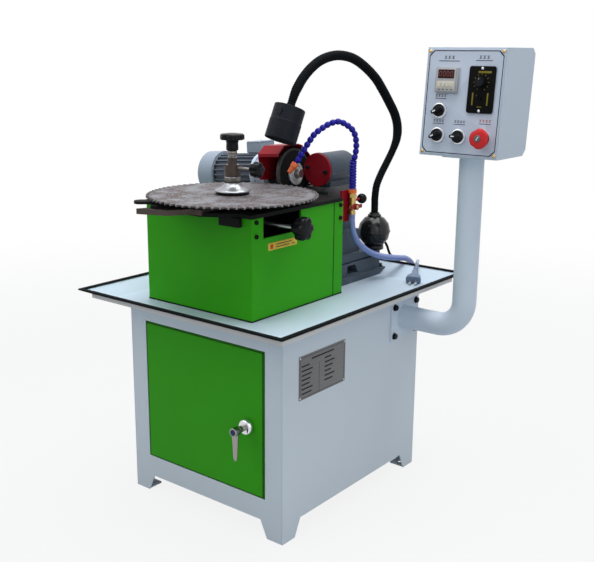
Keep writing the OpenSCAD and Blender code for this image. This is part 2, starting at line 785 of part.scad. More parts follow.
module saw_blade() color(aged) at_blade() translate([0, 0, blade_z]) linear_extrude(blade_t) difference() {
    step = 360 / teeth;
    polygon([
        for (i = [0 : teeth - 1]) each [
            polar(blade_r, i * step), polar(blade_r - gullet, (i + 0.16) * step),
            polar(blade_r - gullet + 1, (i + 0.4) * step), polar(blade_r - 1.5, (i + 0.8) * step)
        ]
    ]);
    circle(r = post_r + fit);
}
module cone_flange() color(steel) at_blade() translate([0, 0, blade_top]) rotate_extrude() polygon([
    [post_r + fit, 0], [cone_r + 2, 0], [cone_r + 2, 3.5], [cone_r, 4], [cone_r - 1, 9], [cone_r * 0.75, 14],
    [cone_r * 0.55, 21], [post_r + 3.5, 24], [post_r + 3.5, cone_h], [post_r + fit, cone_h]
]);
module pawl_arm() color(black) at_blade() {
    low = carriage_top + pass_gap;
    bar(pivot, finger_tip, pawl_r - 1, pivot_r + fit, low, low + pawl_t);
    bar(pivot, pawl_tip, pawl_r, pivot_r + fit, low + pawl_t, low + 2 * pawl_t);
}

// Grinding head
module dovetail(grow, z0, z1) polygon([
    [-rail_w / 2 - grow, z0], [-rail_w / 2 - rail_flare - grow, z1],
    [rail_w / 2 + rail_flare + grow, z1], [rail_w / 2 + grow, z0]
]);
rail_x = (column_x0 + waist_x1) / 2;
module base_casting() color(slate) {
    column_y1 = saddle_y + saddle_len + 10;
    difference() {
        union() {
            along_x(-block_x - 14, block_x + 10) polygon([
                [block_y0 - 10, floor_z], [block_y1 - 15, floor_z],
                [block_y1 + 12, floor_z + foot_flange_h - 1.5], [block_y1 + 12, floor_z + foot_flange_h],
                [block_y0 - 10, floor_z + foot_flange_h]
            ]);
            slab([-block_x, block_y0, floor_z + foot_flange_h], [block_x, block_y1, block_top]);
            slab([column_x0, saddle_y, block_top], [column_x1, column_y1, waist_z]);
            slab([column_x0, saddle_y, waist_z], [waist_x1, column_y1, rail_z]);
        }
        along_x(-block_x - 20, block_x + 20) polygon([
            [block_y0 + 60, floor_z + 18], [block_y0 + 104, floor_z + 18],
            [block_y0 + 92, floor_z + 38], [block_y0 + 62, floor_z + 38]
        ]);
        slab(
            [block_x - 6, block_y0 - past, block_top - 20],
            [block_x + past, block_y1 + past, block_top - 16]
        );
    }
    translate([rail_x, 0, 0]) along_y(saddle_y, column_y1) dovetail(0, rail_z, rail_top);
}
module saddle_plate() color(steel) {
    y1 = saddle_y + saddle_len;
    jaw_z = rail_z + pass_gap;
    difference() {
        slab([saddle_x0, saddle_y, jaw_z], [saddle_x1, y1, saddle_top - saddle_plate_t]);
        translate([rail_x, 0, 0]) along_y(saddle_y - past, y1 + past)
            dovetail(slide_gap, rail_z, rail_top + slide_gap);
        slab(
            [wheel_x - wheel_t / 2 - 7, saddle_y - past, saddle_top - 25],
            [wheel_x + wheel_t / 2 + 9, wheel_y + 54, saddle_top]
        );
    }
    arm_x0 = wheel_x + upright_x + 4;
    arm_x1 = wheel_x + guard_back + 20;
    translate([0, 0, saddle_top - saddle_plate_t]) linear_extrude(saddle_plate_t) polygon([
        [arm_x0, wheel_y - 40], [arm_x1, wheel_y - 40], [arm_x1, saddle_y + 24],
        [wheel_x + wheel_t / 2 + 16, saddle_y + 24],
        [wheel_x + wheel_t / 2 + 16, gear_y - 2], [saddle_x1, gear_y - 2], [saddle_x1, y1], [arm_x0, y1]
    ]);
    difference() {
        at_head() slab([upright_x, -38, -60], [guard_back, 54, 48]);
        slab([arm_x0 - 50, -past, 0], [arm_x1 + 50, wheel_y + 200, saddle_top - past]);
        at_head() rod_x(shaft_r + 3, upright_x - past, guard_back + past, 0, 0);
    }
}
fins = 24;
fin_h = 6;
bearing_t = 6;
module motor_body() color(grey) at_head() difference() {
    along_x(motor_x, bell_x) {
        circle(r = motor_r - fin_h);
        for (i = [0 : fins - 1])
            rotate(360 * i / fins) translate([motor_r - fin_h - 2, -1.25]) square([fin_h + 2, 2.5]);
    }
    rod_x(motor_r - 17, motor_x + bearing_t, bell_x + past, 0, 0);
    rod_x(shaft_r + fit, motor_x - past, bell_x, 0, 0);
}
module motor_cowl() color("#b9c0c4") at_head() translate([cowl_x, 0, 0]) difference() {
    wall = 2.5;
    lip = 3;
    inner = cowl_r - wall;
    taper = 9;
    lip_r = motor_r - fin_h + 2;
    rotate([0, 90, 0]) rotate_extrude() polygon([
        [0, 0], [cowl_r - taper, 0], [cowl_r, taper], [cowl_r, cowl_len], [lip_r, cowl_len],
        [lip_r, cowl_len - lip], [inner, cowl_len - lip], [inner, taper + 1], [inner - taper, wall], [0, wall]
    ]);
    for (i = [0 : 7]) rotate([45 * i, 0, 0]) translate([-past, 14, -2.5]) cube([wall + 2 * past, 20, 5]);
}
module motor_flange() color(white) at_head() difference() {
    union() {
        rod_x(motor_r + 1, bell_x, bell_x + 9, 0, 0);
        rod_x(motor_r - 6, bell_x, upright_x, 0, 0);
    }
    rod_x(motor_r - 17, bell_x - past, bell_x + 5, 0, 0);
    rod_x(shaft_r + fit, bell_x, upright_x + past, 0, 0);
}
module terminal_box() color("#b9c0c4") at_head() difference() {
    slab([bell_x - 46, 2, 30], [bell_x - 4, 54, motor_r + 24]);
    rod_x(motor_r + pass_gap, bell_x - 60, bell_x + past, 0, 0);
}
function guard_outline() = [
    [-68, -8], [-68, 49], [-45, 66], [4, 66], [32, 58], [54, 40], [65, 16], [67, -17]
];
function inset(p, t) = p * (1 - t / norm(p));
module wheel_guard() color(red) at_head() difference() {
    outline = guard_outline();
    along_x(guard_back, guard_open) polygon(outline);
    along_x(guard_back + guard_t, guard_open + past) polygon(concat(
        [outline[0] + [guard_t, -past]],
        [for (i = [1 : 6]) inset(outline[i], guard_t)],
        [outline[7] + [-guard_t, -past]]
    ));
    slab([guard_back + guard_t, outline[0].x - past, -40], [guard_open + past, outline[0].x + 5, 42]);
    rod_x(shaft_r + 8, guard_back - past, guard_open + past, 0, 0);
    slab([wheel_t / 2 + 3, 20, -60], [guard_open + past, 80, 80]);
}
module gear_motor() color(slate) {
    y0 = gear_y + gear_plate_t;
    y1 = y0 + gear_len;
    translate([gear_x, y0, gear_z]) rotate([-90, 0, 0]) rotate_extrude() polygon([
        [0, 0], [gear_r + 1.5, 0], [gear_r + 1.5, gear_ring_t], [gear_r, gear_ring_t],
        [gear_r, gear_len - 10], [gear_r - 3, gear_len - 3], [gear_r - 10, gear_len], [0, gear_len]
    ]);
    slab(
        [gear_x - gear_r * 0.7, y0 + 12, saddle_top],
        [gear_x + gear_r * 0.7, y1 - 12, gear_z - gear_r * 0.6]
    );
}
module gear_motor_plate() color(red) rod_y(gear_r + 1, gear_y, gear_y + gear_plate_t, gear_x, gear_z);
fan_r = 44;
module motor_shaft() color(steel) at_head() {
    rod_x(shaft_r, cowl_x + 20, wheel_t / 2 + 18, 0, 0);
    rod_x(motor_r - 18, motor_x + 16, bell_x - 14, 0, 0);
    rod_x(fan_r, motor_x - 18, motor_x - 14, 0, 0);
    for (i = [0 : 7])
        rotate([45 * i, 0, 0]) slab([motor_x - 34, shaft_r - 1, -1.5], [motor_x - 16, fan_r - 2, 1.5]);
}
module grinding_wheel() color("#26272a") at_head() difference() {
    rod_x(wheel_r, -wheel_t / 2, wheel_t / 2, 0, 0);
    rod_x(shaft_r + fit, -wheel_t, wheel_t, 0, 0);
}
wheel_flange_r = 25;
module wheel_flange() color(steel) at_head() difference() {
    union() {
        rod_x(wheel_flange_r, -wheel_t / 2 - 6, -wheel_t / 2, 0, 0);
        rod_x(wheel_flange_r, wheel_t / 2, wheel_t / 2 + 5, 0, 0);
        translate([wheel_t / 2 + 5, 0, 0]) rotate([0, 90, 0]) cylinder(r = shaft_r + 5, h = 9, $fn = 6);
    }
    rod_x(shaft_r + fit, -wheel_t / 2 - 6 - past, wheel_t + 20, 0, 0);
}

// Coolant
module valve_bracket() color(red) {
    x0 = bracket_x - bracket_t;
    slab([x0, valve_at.y - 28, rail_z - 25], [bracket_x, valve_at.y + 24, valve_top + 6]);
    slab([waist_x1, valve_at.y - 14, rail_z - 25], [x0 + past, valve_at.y + 14, rail_z - 5]);
    rod_y(3, valve_at.y + 23, valve_at.y + 48, bracket_x - bracket_t / 2, valve_top - 20);
    translate([bracket_x - bracket_t / 2, valve_at.y + 54, valve_top - 20]) sphere(r = 9);
}
module valve_body() color(brass) {
    rod_z(valve_r, valve_low + 12, valve_top, valve_at.x, valve_at.y);
    rod_z(supply_r + 1, valve_low, valve_low + 12, valve_at.x, valve_at.y);
    rod_x(valve_stem_r, valve_at.x, valve_handle_x + 6, valve_at.y, valve_low + 18);
}
handle_half = 21;
module valve_handle() color(red) translate([valve_handle_x, valve_at.y, valve_low + 18]) difference() {
    union() {
        slab([0, -handle_half, -4], [3, handle_half, 4]);
        rod_x(7, 0, 5, 0, 0);
    }
    rod_x(valve_stem_r + fit, -past, 6, 0, 0);
}
hose_steps = 4;
thick_beads = 3;
module coolant_hose() color(blue) {
    path = curve(hose_route, hose_steps);
    ridge = [0.78, 1, 1, 0.86];
    swell = [for (i = [0 : len(path) - 1]) i < thick_beads * hose_steps ? 1.22 : 1];
    radii = [for (i = [0 : len(path) - 1]) bead_r * ridge[i % hose_steps] * swell[i]];
    hollow_tube(path, radii, bead_r * 0.45, 8);
    rod_z(bead_r * 1.4, valve_top, hose_route[0].z, valve_at.x, valve_at.y);
    at_nozzle() translate([0, 0, -socket_gap - 3]) cylinder(r = bead_r * 0.6, h = socket_gap + 3);
    at_nozzle() sphere(r = socket_r);
}
hose_end = hose_route[len(hose_route) - 1];
nozzle_dir = unit(nozzle_tip - hose_end);
socket_r = 5;
socket_gap = 4;
nozzle_at = hose_end + socket_gap * nozzle_dir;
nozzle_len = norm(nozzle_tip - nozzle_at);
module at_nozzle() translate(nozzle_at)
    rotate([0, acos(nozzle_dir.z), atan2(nozzle_dir.y, nozzle_dir.x)]) children();
module nozzle() color(orange) at_nozzle() difference() {
    union() {
        cylinder(r1 = bead_r * 1.2, r2 = bead_r, h = 9);
        translate([0, 0, 9]) cylinder(r1 = bead_r, r2 = bead_r * 0.6, h = nozzle_len - 9);
    }
    sphere(r = socket_r + fit);
    translate([0, 0, -past]) cylinder(r = 2, h = nozzle_len + 2 * past);
}
module supply_hose() color(lavender) tube(curve(supply_route, 2), supply_r, 10);

// Lamp
module lamp_base() color(black) {
    difference() {
        translate([lamp_at.x, lamp_at.y, lamp_ball_z]) sphere(r = lamp_ball_r);
        translate([lamp_at.x - lamp_ball_r, lamp_at.y - lamp_ball_r, block_top - lamp_ball_r])
            cube([2 * lamp_ball_r, 2 * lamp_ball_r, lamp_ball_r + lamp_foot_h]);
    }
    rod_z(neck_r + 3.5, lamp_ball_z, neck_route[0].z, lamp_at.x, lamp_at.y);
    rod_z(lamp_ball_r * 0.6, block_top, block_top + lamp_foot_h + past, lamp_at.x, lamp_at.y);
    rod_y(lamp_cable_r + 2, lamp_at.y, lamp_cable_route[0].y, lamp_at.x, lamp_cable_route[0].z);
}
module gooseneck() color(black) {
    path = curve(neck_route, 2);
    last = len(path) - 1;
    // A sleeve covers the upper part and stops short of the lamp
    sleeve = [for (i = [0 : last]) max(0, min(1, (i - 14) / 3, (last - i) / 3))];
    tube(path, [for (s = sleeve) neck_r + neck_sleeve * s], 12);
    translate(neck_end) sphere(r = lamp_ball_small);
}
neck_end = neck_route[len(neck_route) - 1];
neck_sleeve = 2;
lamp_low = [10, -13, 770] + neck_shift;
lamp_dir = unit(neck_end - lamp_low);
lamp_ball_small = 9.5;
rocker = [8.4, 13.4];
rocker_turn = -160;
rocker_z = -22;
rocker_pin_r = 1;
module at_lamp() translate(neck_end) rotate([0, acos(lamp_dir.z), atan2(lamp_dir.y, lamp_dir.x)]) children();
module at_rocker() at_lamp() rotate(rocker_turn) translate([lamp_r - 0.5, 0, rocker_z]) children();
module lamp_head() color(black) difference() {
    at_lamp() {
        translate([0, 0, -lamp_len - 4]) cylinder(r = lamp_r, h = lamp_len);
        translate([0, 0, -4 - past]) cylinder(r = lamp_r / 2, h = 3 + past);
    }
    at_lamp() sphere(r = lamp_ball_small + fit);
    at_lamp() translate([0, 0, -lamp_len - 4 - past]) cylinder(r = lamp_r - 3, h = 20);
    at_rocker() slab(
        [-3, -rocker.x / 2 - pass_gap, -rocker.y / 2 - 0.6],
        [6, rocker.x / 2 + pass_gap, rocker.y / 2 + 0.6]
    );
    at_rocker() rod_y(rocker_pin_r + fit, -rocker.x / 2 - 3, rocker.x / 2 + 3, 0, 0);
}
module lamp_switch() color("#303238") at_rocker() {
    slab([-1.6, -rocker.x / 2, -rocker.y / 2], [2.2, rocker.x / 2, rocker.y / 2]);
    rod_y(rocker_pin_r, -rocker.x / 2 - 2.5, rocker.x / 2 + 2.5, 0, 0);
}
module lamp_cable() color(black) tube(curve(lamp_cable_route, 2), lamp_cable_r, 8);

// Stand and control box
module stand_pipe() color(white) {
    slab(
        [cx, flange_at.x - flange_y / 2, flange_at.y - flange_z / 2],
        [cx + flange_t, flange_at.x + flange_y / 2, flange_at.y + flange_z / 2]
    );
    difference() {
        union() {
            rod_x(pipe_r, cx + flange_t, upright_at - bend_r, pipe_y, pipe_z);
            rod_z(pipe_r, pipe_z + bend_r, box_low - box_plate_t / 2, upright_at, pipe_y);
        }
        rod_x(pipe_r - pipe_wall, cx + flange_t, upright_at, pipe_y, pipe_z);
        rod_z(pipe_r - pipe_wall, pipe_z, box_low, upright_at, pipe_y);
    }
    translate([upright_at - bend_r, pipe_y, pipe_z + bend_r]) rotate([90, 90, 0]) rotate_extrude(angle = 90)
        translate([bend_r, 0]) difference() {
            circle(r = pipe_r);
            circle(r = pipe_r - pipe_wall);
        }
    slab([upright_at - 45, pipe_y - 45, box_low - box_plate_t], [upright_at + 45, pipe_y + 45, box_low]);
}
function box_outline(t) = [for (p = box_square(t)) [p.x, p.y + p.x * tan(box_tilt)]];
function box_square(t) = [
    [t, -box_h / 2 + t], [box_d - box_chamfer, -box_h / 2 + t], [box_d - t, -box_h / 2 + box_chamfer],
    [box_d - t, box_h / 2 - box_chamfer], [box_d - box_chamfer, box_h / 2 - t], [t, box_h / 2 - t]
];
module box_shell() color(white) at_panel() difference() {
    along_x(-box_w / 2, box_w / 2) polygon(box_outline(0));
    along_x(-box_w / 2 + box_wall, box_w / 2 - box_wall) polygon(box_outline(box_wall));
    slab([-box_w / 2 + 8, -past, -box_h / 2 + 8], [box_w / 2 - 8, box_wall + past, box_h / 2 - 8]);
}
control_shaft_r = 4;
bezel_h = 3;
stop_shaft_r = 6;
module front_panel() color(white) difference() {
    union() {
        at_panel() slab([-box_w / 2 + 4, -panel_t, -box_h / 2 + 4], [box_w / 2 - 4, 0, box_h / 2 - 4]);
        for (at = [selector_top_at, selector_left_at, selector_right_at, stop_at])
            on_panel(at, 0) cylinder(r = selector_d / 2 + 4, h = bezel_h);
    }
    for (at = [selector_top_at, selector_left_at, selector_right_at])
        on_panel(at, 0) translate([0, 0, -9]) cylinder(r = control_shaft_r + fit, h = 20);
    on_panel(stop_at, 0) translate([0, 0, -9]) cylinder(r = stop_shaft_r + fit, h = 20);
    on_panel(dial_at, 0) translate([0, 0, -9]) cylinder(r = control_shaft_r + fit, h = 20);
}

// Places on the front panel, as shares of the box's width and height from its middle
counter_at = [-0.206 * box_w, 0.2 * box_h];
governor_at = [0.229 * box_w, 0.1215 * box_h];
selector_top_at = [-0.274 * box_w, -0.079 * box_h];
selector_left_at = [-0.274 * box_w, -0.306 * box_h];
selector_right_at = [-0.005 * box_w, -0.311 * box_h];
stop_at = [0.309 * box_w, -0.317 * box_h];
dial_at = governor_at + [0, 14];
toggle_at = governor_at + [0, -16];
toggle_r = 2.8;
governor_w = 56;
governor_h = 90;
governor_t = 4;
counter_s = 50;
counter_t = 8;
module on_panel(at, depth) at_panel() translate([at.x, -panel_t - depth, at.y]) rotate([90, 0, 0]) children();
module counter() color(grey) at_panel()
    slab(
        [counter_at.x - counter_s / 2, -panel_t - counter_t, counter_at.y - counter_s / 2],
        [counter_at.x + counter_s / 2, -panel_t, counter_at.y + counter_s / 2]
    );
module governor_plate() color(black) difference() {
    union() {
        at_panel() slab(
            [governor_at.x - governor_w / 2, -panel_t - governor_t, governor_at.y - governor_h / 2],
            [governor_at.x + governor_w / 2, -panel_t, governor_at.y + governor_h / 2]
        );
        on_panel(toggle_at, governor_t) cylinder(r = toggle_r + 2.2, h = toggle_r);
    }
    on_panel(toggle_at, governor_t) translate([0, 0, toggle_r]) sphere(r = toggle_r + fit);
    on_panel(dial_at, -past) cylinder(r = control_shaft_r + fit, h = governor_t + 3 * past);
}
module governor_knob() color(black) on_panel(dial_at, governor_t + pass_gap) {
    cylinder(r = 10, h = 12);
    translate([-1, 0, 0]) cube([2, 11, 13]);
    translate([0, 0, -governor_t - 6]) cylinder(r = control_shaft_r, h = governor_t + 6 + past);
}
module governor_toggle() color(steel) on_panel(toggle_at, governor_t + toggle_r) rotate([-18, 0, 0]) {
    cylinder(r = 2.2, h = 13);
    sphere(r = toggle_r);
}
module selector(at) on_panel(at, bezel_h + pass_gap) {
    cylinder(r = selector_d / 2, h = 5);
    translate([0, 0, 5 - past]) intersection() {
        cylinder(r = selector_d / 2, h = 13);
        translate([-3.5, -selector_d, 0]) cube([7, 2 * selector_d, 13]);
    }
    translate([0, 0, -bezel_h - 6]) cylinder(r = control_shaft_r, h = bezel_h + 6 + past);
}
module selector_top() color(black) selector(selector_top_at);
module selector_left() color(black) selector(selector_left_at);
module selector_right() color(black) selector(selector_right_at);
stop_press = 5;
module stop_button() color(red) on_panel(stop_at, bezel_h + pass_gap + stop_press) {
    translate([0, 0, -bezel_h - stop_press - 5])
        cylinder(r = stop_shaft_r, h = bezel_h + stop_press + 5 + past);
    cylinder(r = stop_d * 0.36, h = 5);
    translate([0, 0, 5]) cylinder(r1 = stop_d * 0.42, r2 = stop_d / 2, h = 5);
    translate([0, 0, 10]) cylinder(r1 = stop_d / 2, r2 = stop_d * 0.42, h = 7);
}

// Mains lead
// The plug leans on the tray's rim with the tips of its pins on the tray's floor
plug_tip = [205, 229, 445];
plug_end = [165, 315, 470];
plug_dir = unit(plug_end - plug_tip);
plug_size = [30, 18, 38];
pin_len = 19;
relief_len = norm(plug_end - plug_tip) - pin_len - plug_size.z;
module mains_plug() color("#aeb4ba") translate(plug_tip)
    rotate([0, acos(plug_dir.z), atan2(plug_dir.y, plug_dir.x)]) rotate(90) {
        for (x = [-6.5, 6.5]) slab([x - 3, -0.8, 0], [x + 3, 0.8, pin_len + past]);
        slab(
            [-plug_size.x / 2, -plug_size.y / 2, pin_len],
            [plug_size.x / 2, plug_size.y / 2, pin_len + plug_size.z]
        );
        translate([0, 0, pin_len + plug_size.z]) cylinder(r1 = lead_r + 4, r2 = lead_r + 1.5, h = relief_len);
    }
module mains_lead() color("#aeb4ba") {
    tube(curve(lead_low_route, 1), lead_r, 8);
    tube(curve(lead_high_route, 2), lead_r, 8);
}
module mains_coil() color("#aeb4ba") tube(coil_path, lead_r, 6);

// Glands on the cabinet's back, each ending where its cord begins
module gland(route, r, wide) {
    p = route[0].y < route[len(route) - 1].y ? route[0] : route[len(route) - 1];
    translate([p.x, cy, p.z]) rotate([-90, 0, 0]) {
        cylinder(r = wide, h = 5);
        cylinder(r1 = r + 3.5, r2 = r + 1.5, h = p.y - cy);
    }
}
module cable_glands() color(black) {
    gland(lead_low_route, lead_r, 11);
    gland([supply_route[len(supply_route) - 1], [0, 999, 0]], supply_r, 14);
    gland([lamp_cable_route[len(lamp_cable_route) - 1], [0, 999, 0]], lamp_cable_r, 9);
}

cabinet_shell();
cabinet_shelf();
door_hinges();
cabinet_door();
handle_lever();
tray();
tray_edging();
coolant_unit();
housing();
side_cover();
cover_screws();
table_plate();
carriage_plate();
blade_post();
post_collar();
lock_knob();
blade_seat();
saw_blade();
cone_flange();
clamp_knob();
collar_knob();
pawl_arm();
base_casting();
saddle_plate();
motor_body();
motor_cowl();
motor_flange();
terminal_box();
wheel_guard();
gear_motor();
gear_motor_plate();
motor_shaft();
grinding_wheel();
wheel_flange();
valve_bracket();
valve_body();
valve_handle();
coolant_hose();
nozzle();
supply_hose();
lamp_base();
gooseneck();
lamp_head();
lamp_switch();
lamp_cable();
stand_pipe();
box_shell();
front_panel();
counter();
governor_plate();
governor_knob();
governor_toggle();
selector_top();
selector_left();
selector_right();
stop_button();
mains_plug();
mains_lead();
mains_coil();
cable_glands();
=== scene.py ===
"""The dressed circular saw blade sharpener: finishes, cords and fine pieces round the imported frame."""

import json
import logging
import math
from collections.abc import Sequence
from dataclasses import dataclass, replace
from enum import Enum

import bmesh
import bpy
import numpy as np
from mathutils import Matrix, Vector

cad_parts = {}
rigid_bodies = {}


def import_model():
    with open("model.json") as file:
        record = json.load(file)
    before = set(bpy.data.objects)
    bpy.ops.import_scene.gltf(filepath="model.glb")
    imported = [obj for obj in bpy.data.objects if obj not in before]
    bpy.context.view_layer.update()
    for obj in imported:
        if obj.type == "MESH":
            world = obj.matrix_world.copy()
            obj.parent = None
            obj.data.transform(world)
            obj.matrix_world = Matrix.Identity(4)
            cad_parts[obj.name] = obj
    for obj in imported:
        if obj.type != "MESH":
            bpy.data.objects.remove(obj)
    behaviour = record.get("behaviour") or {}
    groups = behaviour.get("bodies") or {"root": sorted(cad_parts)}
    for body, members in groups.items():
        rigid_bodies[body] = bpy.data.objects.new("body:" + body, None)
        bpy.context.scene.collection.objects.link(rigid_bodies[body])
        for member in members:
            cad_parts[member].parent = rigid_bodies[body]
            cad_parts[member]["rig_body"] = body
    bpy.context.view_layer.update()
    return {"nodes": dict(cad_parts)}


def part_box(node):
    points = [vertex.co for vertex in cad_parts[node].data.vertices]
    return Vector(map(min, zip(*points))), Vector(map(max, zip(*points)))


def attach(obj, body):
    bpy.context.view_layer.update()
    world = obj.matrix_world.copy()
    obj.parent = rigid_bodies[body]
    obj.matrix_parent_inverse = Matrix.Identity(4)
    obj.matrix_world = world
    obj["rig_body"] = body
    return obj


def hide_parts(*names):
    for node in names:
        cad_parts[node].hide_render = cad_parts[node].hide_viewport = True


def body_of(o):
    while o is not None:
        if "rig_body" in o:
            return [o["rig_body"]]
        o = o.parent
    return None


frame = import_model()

LOG = logging.getLogger("sharpener")
Vec = tuple[float, float, float]
Pair = tuple[float, float]
TAU = 2 * math.pi


# Shader maths


class Socket:
    """A node's output that adds Math nodes when it is used in an expression."""

    def __init__(self, shader: "Shader", link: bpy.types.NodeSocket) -> None:
        """Keep the shader and the output that this stands for."""
        self.shader = shader
        self.link = link

    def _math(self, operation: str, first: "Socket | float", second: "Socket | float") -> "Socket":
        """Add one Math node.

        Args:
            operation: The Math node's operation.
            first: Its first value.
            second: Its second value.

        Returns:
            The node's output.
        """
        return self.shader.node("ShaderNodeMath", {"operation": operation}, {0: first, 1: second})

    def __add__(self, other: "Socket | float") -> "Socket":
        """This value plus another."""
        return self._math("ADD", self, other)

    def __radd__(self, other: float) -> "Socket":
        """A number plus this value."""
        return self._math("ADD", other, self)

    def __sub__(self, other: "Socket | float") -> "Socket":
        """This value less another."""
        return self._math("SUBTRACT", self, other)

    def __rsub__(self, other: float) -> "Socket":
        """A number less this value."""
        return self._math("SUBTRACT", other, self)

    def __mul__(self, other: "Socket | float") -> "Socket":
        """This value times another."""
        return self._math("MULTIPLY", self, other)

    def __rmul__(self, other: float) -> "Socket":
        """A number times this value."""
        return self._math("MULTIPLY", other, self)

    def __mod__(self, other: float) -> "Socket":
        """What is left of this value after whole steps of a number."""
        return self._math("FLOORED_MODULO", self, other)

    def __lt__(self, other: "Socket | float") -> "Socket":
        """One where this value is the smaller, else nought."""
        return self._math("LESS_THAN", self, other)

    def __gt__(self, other: "Socket | float") -> "Socket":
        """One where this value is the greater, else nought."""
        return self._math("GREATER_THAN", self, other)

    def most(self, other: "Socket | float") -> "Socket":
        """The greater of this value and another."""
        return self._math("MAXIMUM", self, other)


class Shader:
    """A material's node tree, with one way to add any node."""

    plain = "ShaderNodeEmission"
    result = "Material Output"

    def __init__(self, name: str) -> None:
        """Start a material with its principled surface."""
        self.material = bpy.data.materials.new(name)
        self.material.use_nodes = True
        self.tree = self.material.node_tree
        self.surface = self.tree.nodes["Principled BSDF"]

    def node(
        self, kind: str, settings: dict | None = None, sockets: dict | None = None, output: int | str = 0
    ) -> Socket:
        """Add a node of any type.

        Args:
            kind: The node's type.
            settings: Its own settings, set first.
            sockets: Values or links for its inputs.
            output: The output that is wanted.

        Returns:
            That output.
        """
        made = self.tree.nodes.new(kind)
        for key, value in (settings or {}).items():
            setattr(made, key, value)
        for key, value in (sockets or {}).items():
            if isinstance(value, Socket):
                self.tree.links.new(value.link, made.inputs[key])
            else:
                made.inputs[key].default_value = value
        return Socket(self, made.outputs[output])

    def place(self, centre: Vec = (0.0, 0.0, 0.0), scale: Vec = (1.0, 1.0, 1.0)) -> Socket:
        """Object coordinates, stretched and moved so that centre becomes the middle.

        Args:
            centre: The point that becomes the middle.
            scale: How much each direction is stretched.

        Returns:
            The coordinates.
        """
        where = self.node("ShaderNodeTexCoord", output="Object")
        if centre == (0.0, 0.0, 0.0) and scale == (1.0, 1.0, 1.0):
            return where
        moved = tuple(-c * s for c, s in zip(centre, scale))
        return self.node("ShaderNodeMapping", None, {"Vector": where, "Location": moved, "Scale": scale})

    def noise(self, where: Socket, scale: float, detail: float = 2.0, roughness: float = 0.5) -> Socket:
        """Cloudy noise, features about one over scale metres wide."""
        sockets = {"Vector": where, "Scale": scale, "Detail": detail, "Roughness": roughness}
        return self.node("ShaderNodeTexNoise", None, sockets)

    def cells(self, where: Socket, scale: float) -> Socket:
        """The distance to the nearest of many scattered points."""
        return self.node("ShaderNodeTexVoronoi", None, {"Vector": where, "Scale": scale})

    def part(self, where: Socket, axis: str) -> Socket:
        """One of a vector's three values, named X, Y or Z."""
        return self.node("ShaderNodeSeparateXYZ", None, {0: where}, axis)

    def ease(self, value: Socket, low: float, high: float) -> Socket:
        """Nought below low, one above high and a smooth step between."""
        settings = {"interpolation_type": "SMOOTHSTEP"}
        return self.node("ShaderNodeMapRange", settings, {"Value": value, "From Min": low, "From Max": high})

    def blend(self, factor: Socket, first: "Vec | Socket", second: "Vec | Socket") -> Socket:
        """A colour between two others.

        Args:
            factor: Nought for the first colour, one for the second.
            first: The first colour.
            second: The second colour.

        Returns:
            The mixed colour.
        """
        colours = [c if isinstance(c, Socket) else (*c, 1.0) for c in (first, second)]
        return self.node(
            "ShaderNodeMix", {"data_type": "RGBA"}, {0: factor, 6: colours[0], 7: colours[1]}, 2
        )

    def bump(self, height: Socket, depth: float) -> Socket:
        """A normal for a height that swings by depth metres."""
        return self.node("ShaderNodeBump", None, {"Strength": 1.0, "Distance": depth, "Height": height})

    def finish(self, **sockets: "Socket | float | Vec") -> None:
        """Set or link the surface's sockets, whose names are written with _ for a space."""
        for key, value in sockets.items():
            target = self.surface.inputs[key.replace("_", " ")]
            if isinstance(value, Socket):
                self.tree.links.new(value.link, target)
            elif isinstance(value, tuple):
                target.default_value = (*value, 1.0)
            else:
                target.default_value = value

    def looked_at(self) -> Socket:
        """One for rays from the camera, from gloss or through glass, else nought."""
        names = ("Is Camera Ray", "Is Glossy Ray", "Is Transmission Ray")
        camera, gloss, glass = [self.node("ShaderNodeLightPath", output=name) for name in names]
        return camera.most(gloss).most(glass)

    def cover(self, share: Socket) -> None:
        """Cover a share of the surface with plain white of strength one."""
        white = self.node(self.plain, None, {"Color": (1.0, 1.0, 1.0, 1.0), "Strength": 1.0})
        body = Socket(self, self.surface.outputs[0])
        both = self.node("ShaderNodeMixShader", None, {0: share, 1: body, 2: white})
        self.tree.links.new(both.link, self.tree.nodes[self.result].inputs["Surface"])


class Backdrop(Shader):
    """The world's node tree."""

    plain = "ShaderNodeBackground"
    result = "World Output"

    def __init__(self, name: str) -> None:
        """Start a world with its background."""
        self.world = bpy.data.worlds.new(name)
        self.world.use_nodes = True
        self.tree = self.world.node_tree
        self.surface = self.tree.nodes["Background"]


def scaled(colour: Vec, factor: float) -> Vec:
    """A colour made lighter or darker."""
    return tuple(min(1.0, c * factor) for c in colour)


# Finishes


@dataclass(frozen=True)
class Finish:
    """A surface finish: its material's name, its slot in the record and its main colour."""

    label: str
    slot: str
    colour: Vec

    def draw(self, shader: Shader) -> None:
        """Fill the material's node tree."""
        raise NotImplementedError

    def material(self) -> bpy.types.Material:
        """The material, made once."""
        name = f"look.{self.label}"
        found = bpy.data.materials.get(name)
        if found is None:
            shader = Shader(name)
            self.draw(shader)
            found = shader.material
        return found


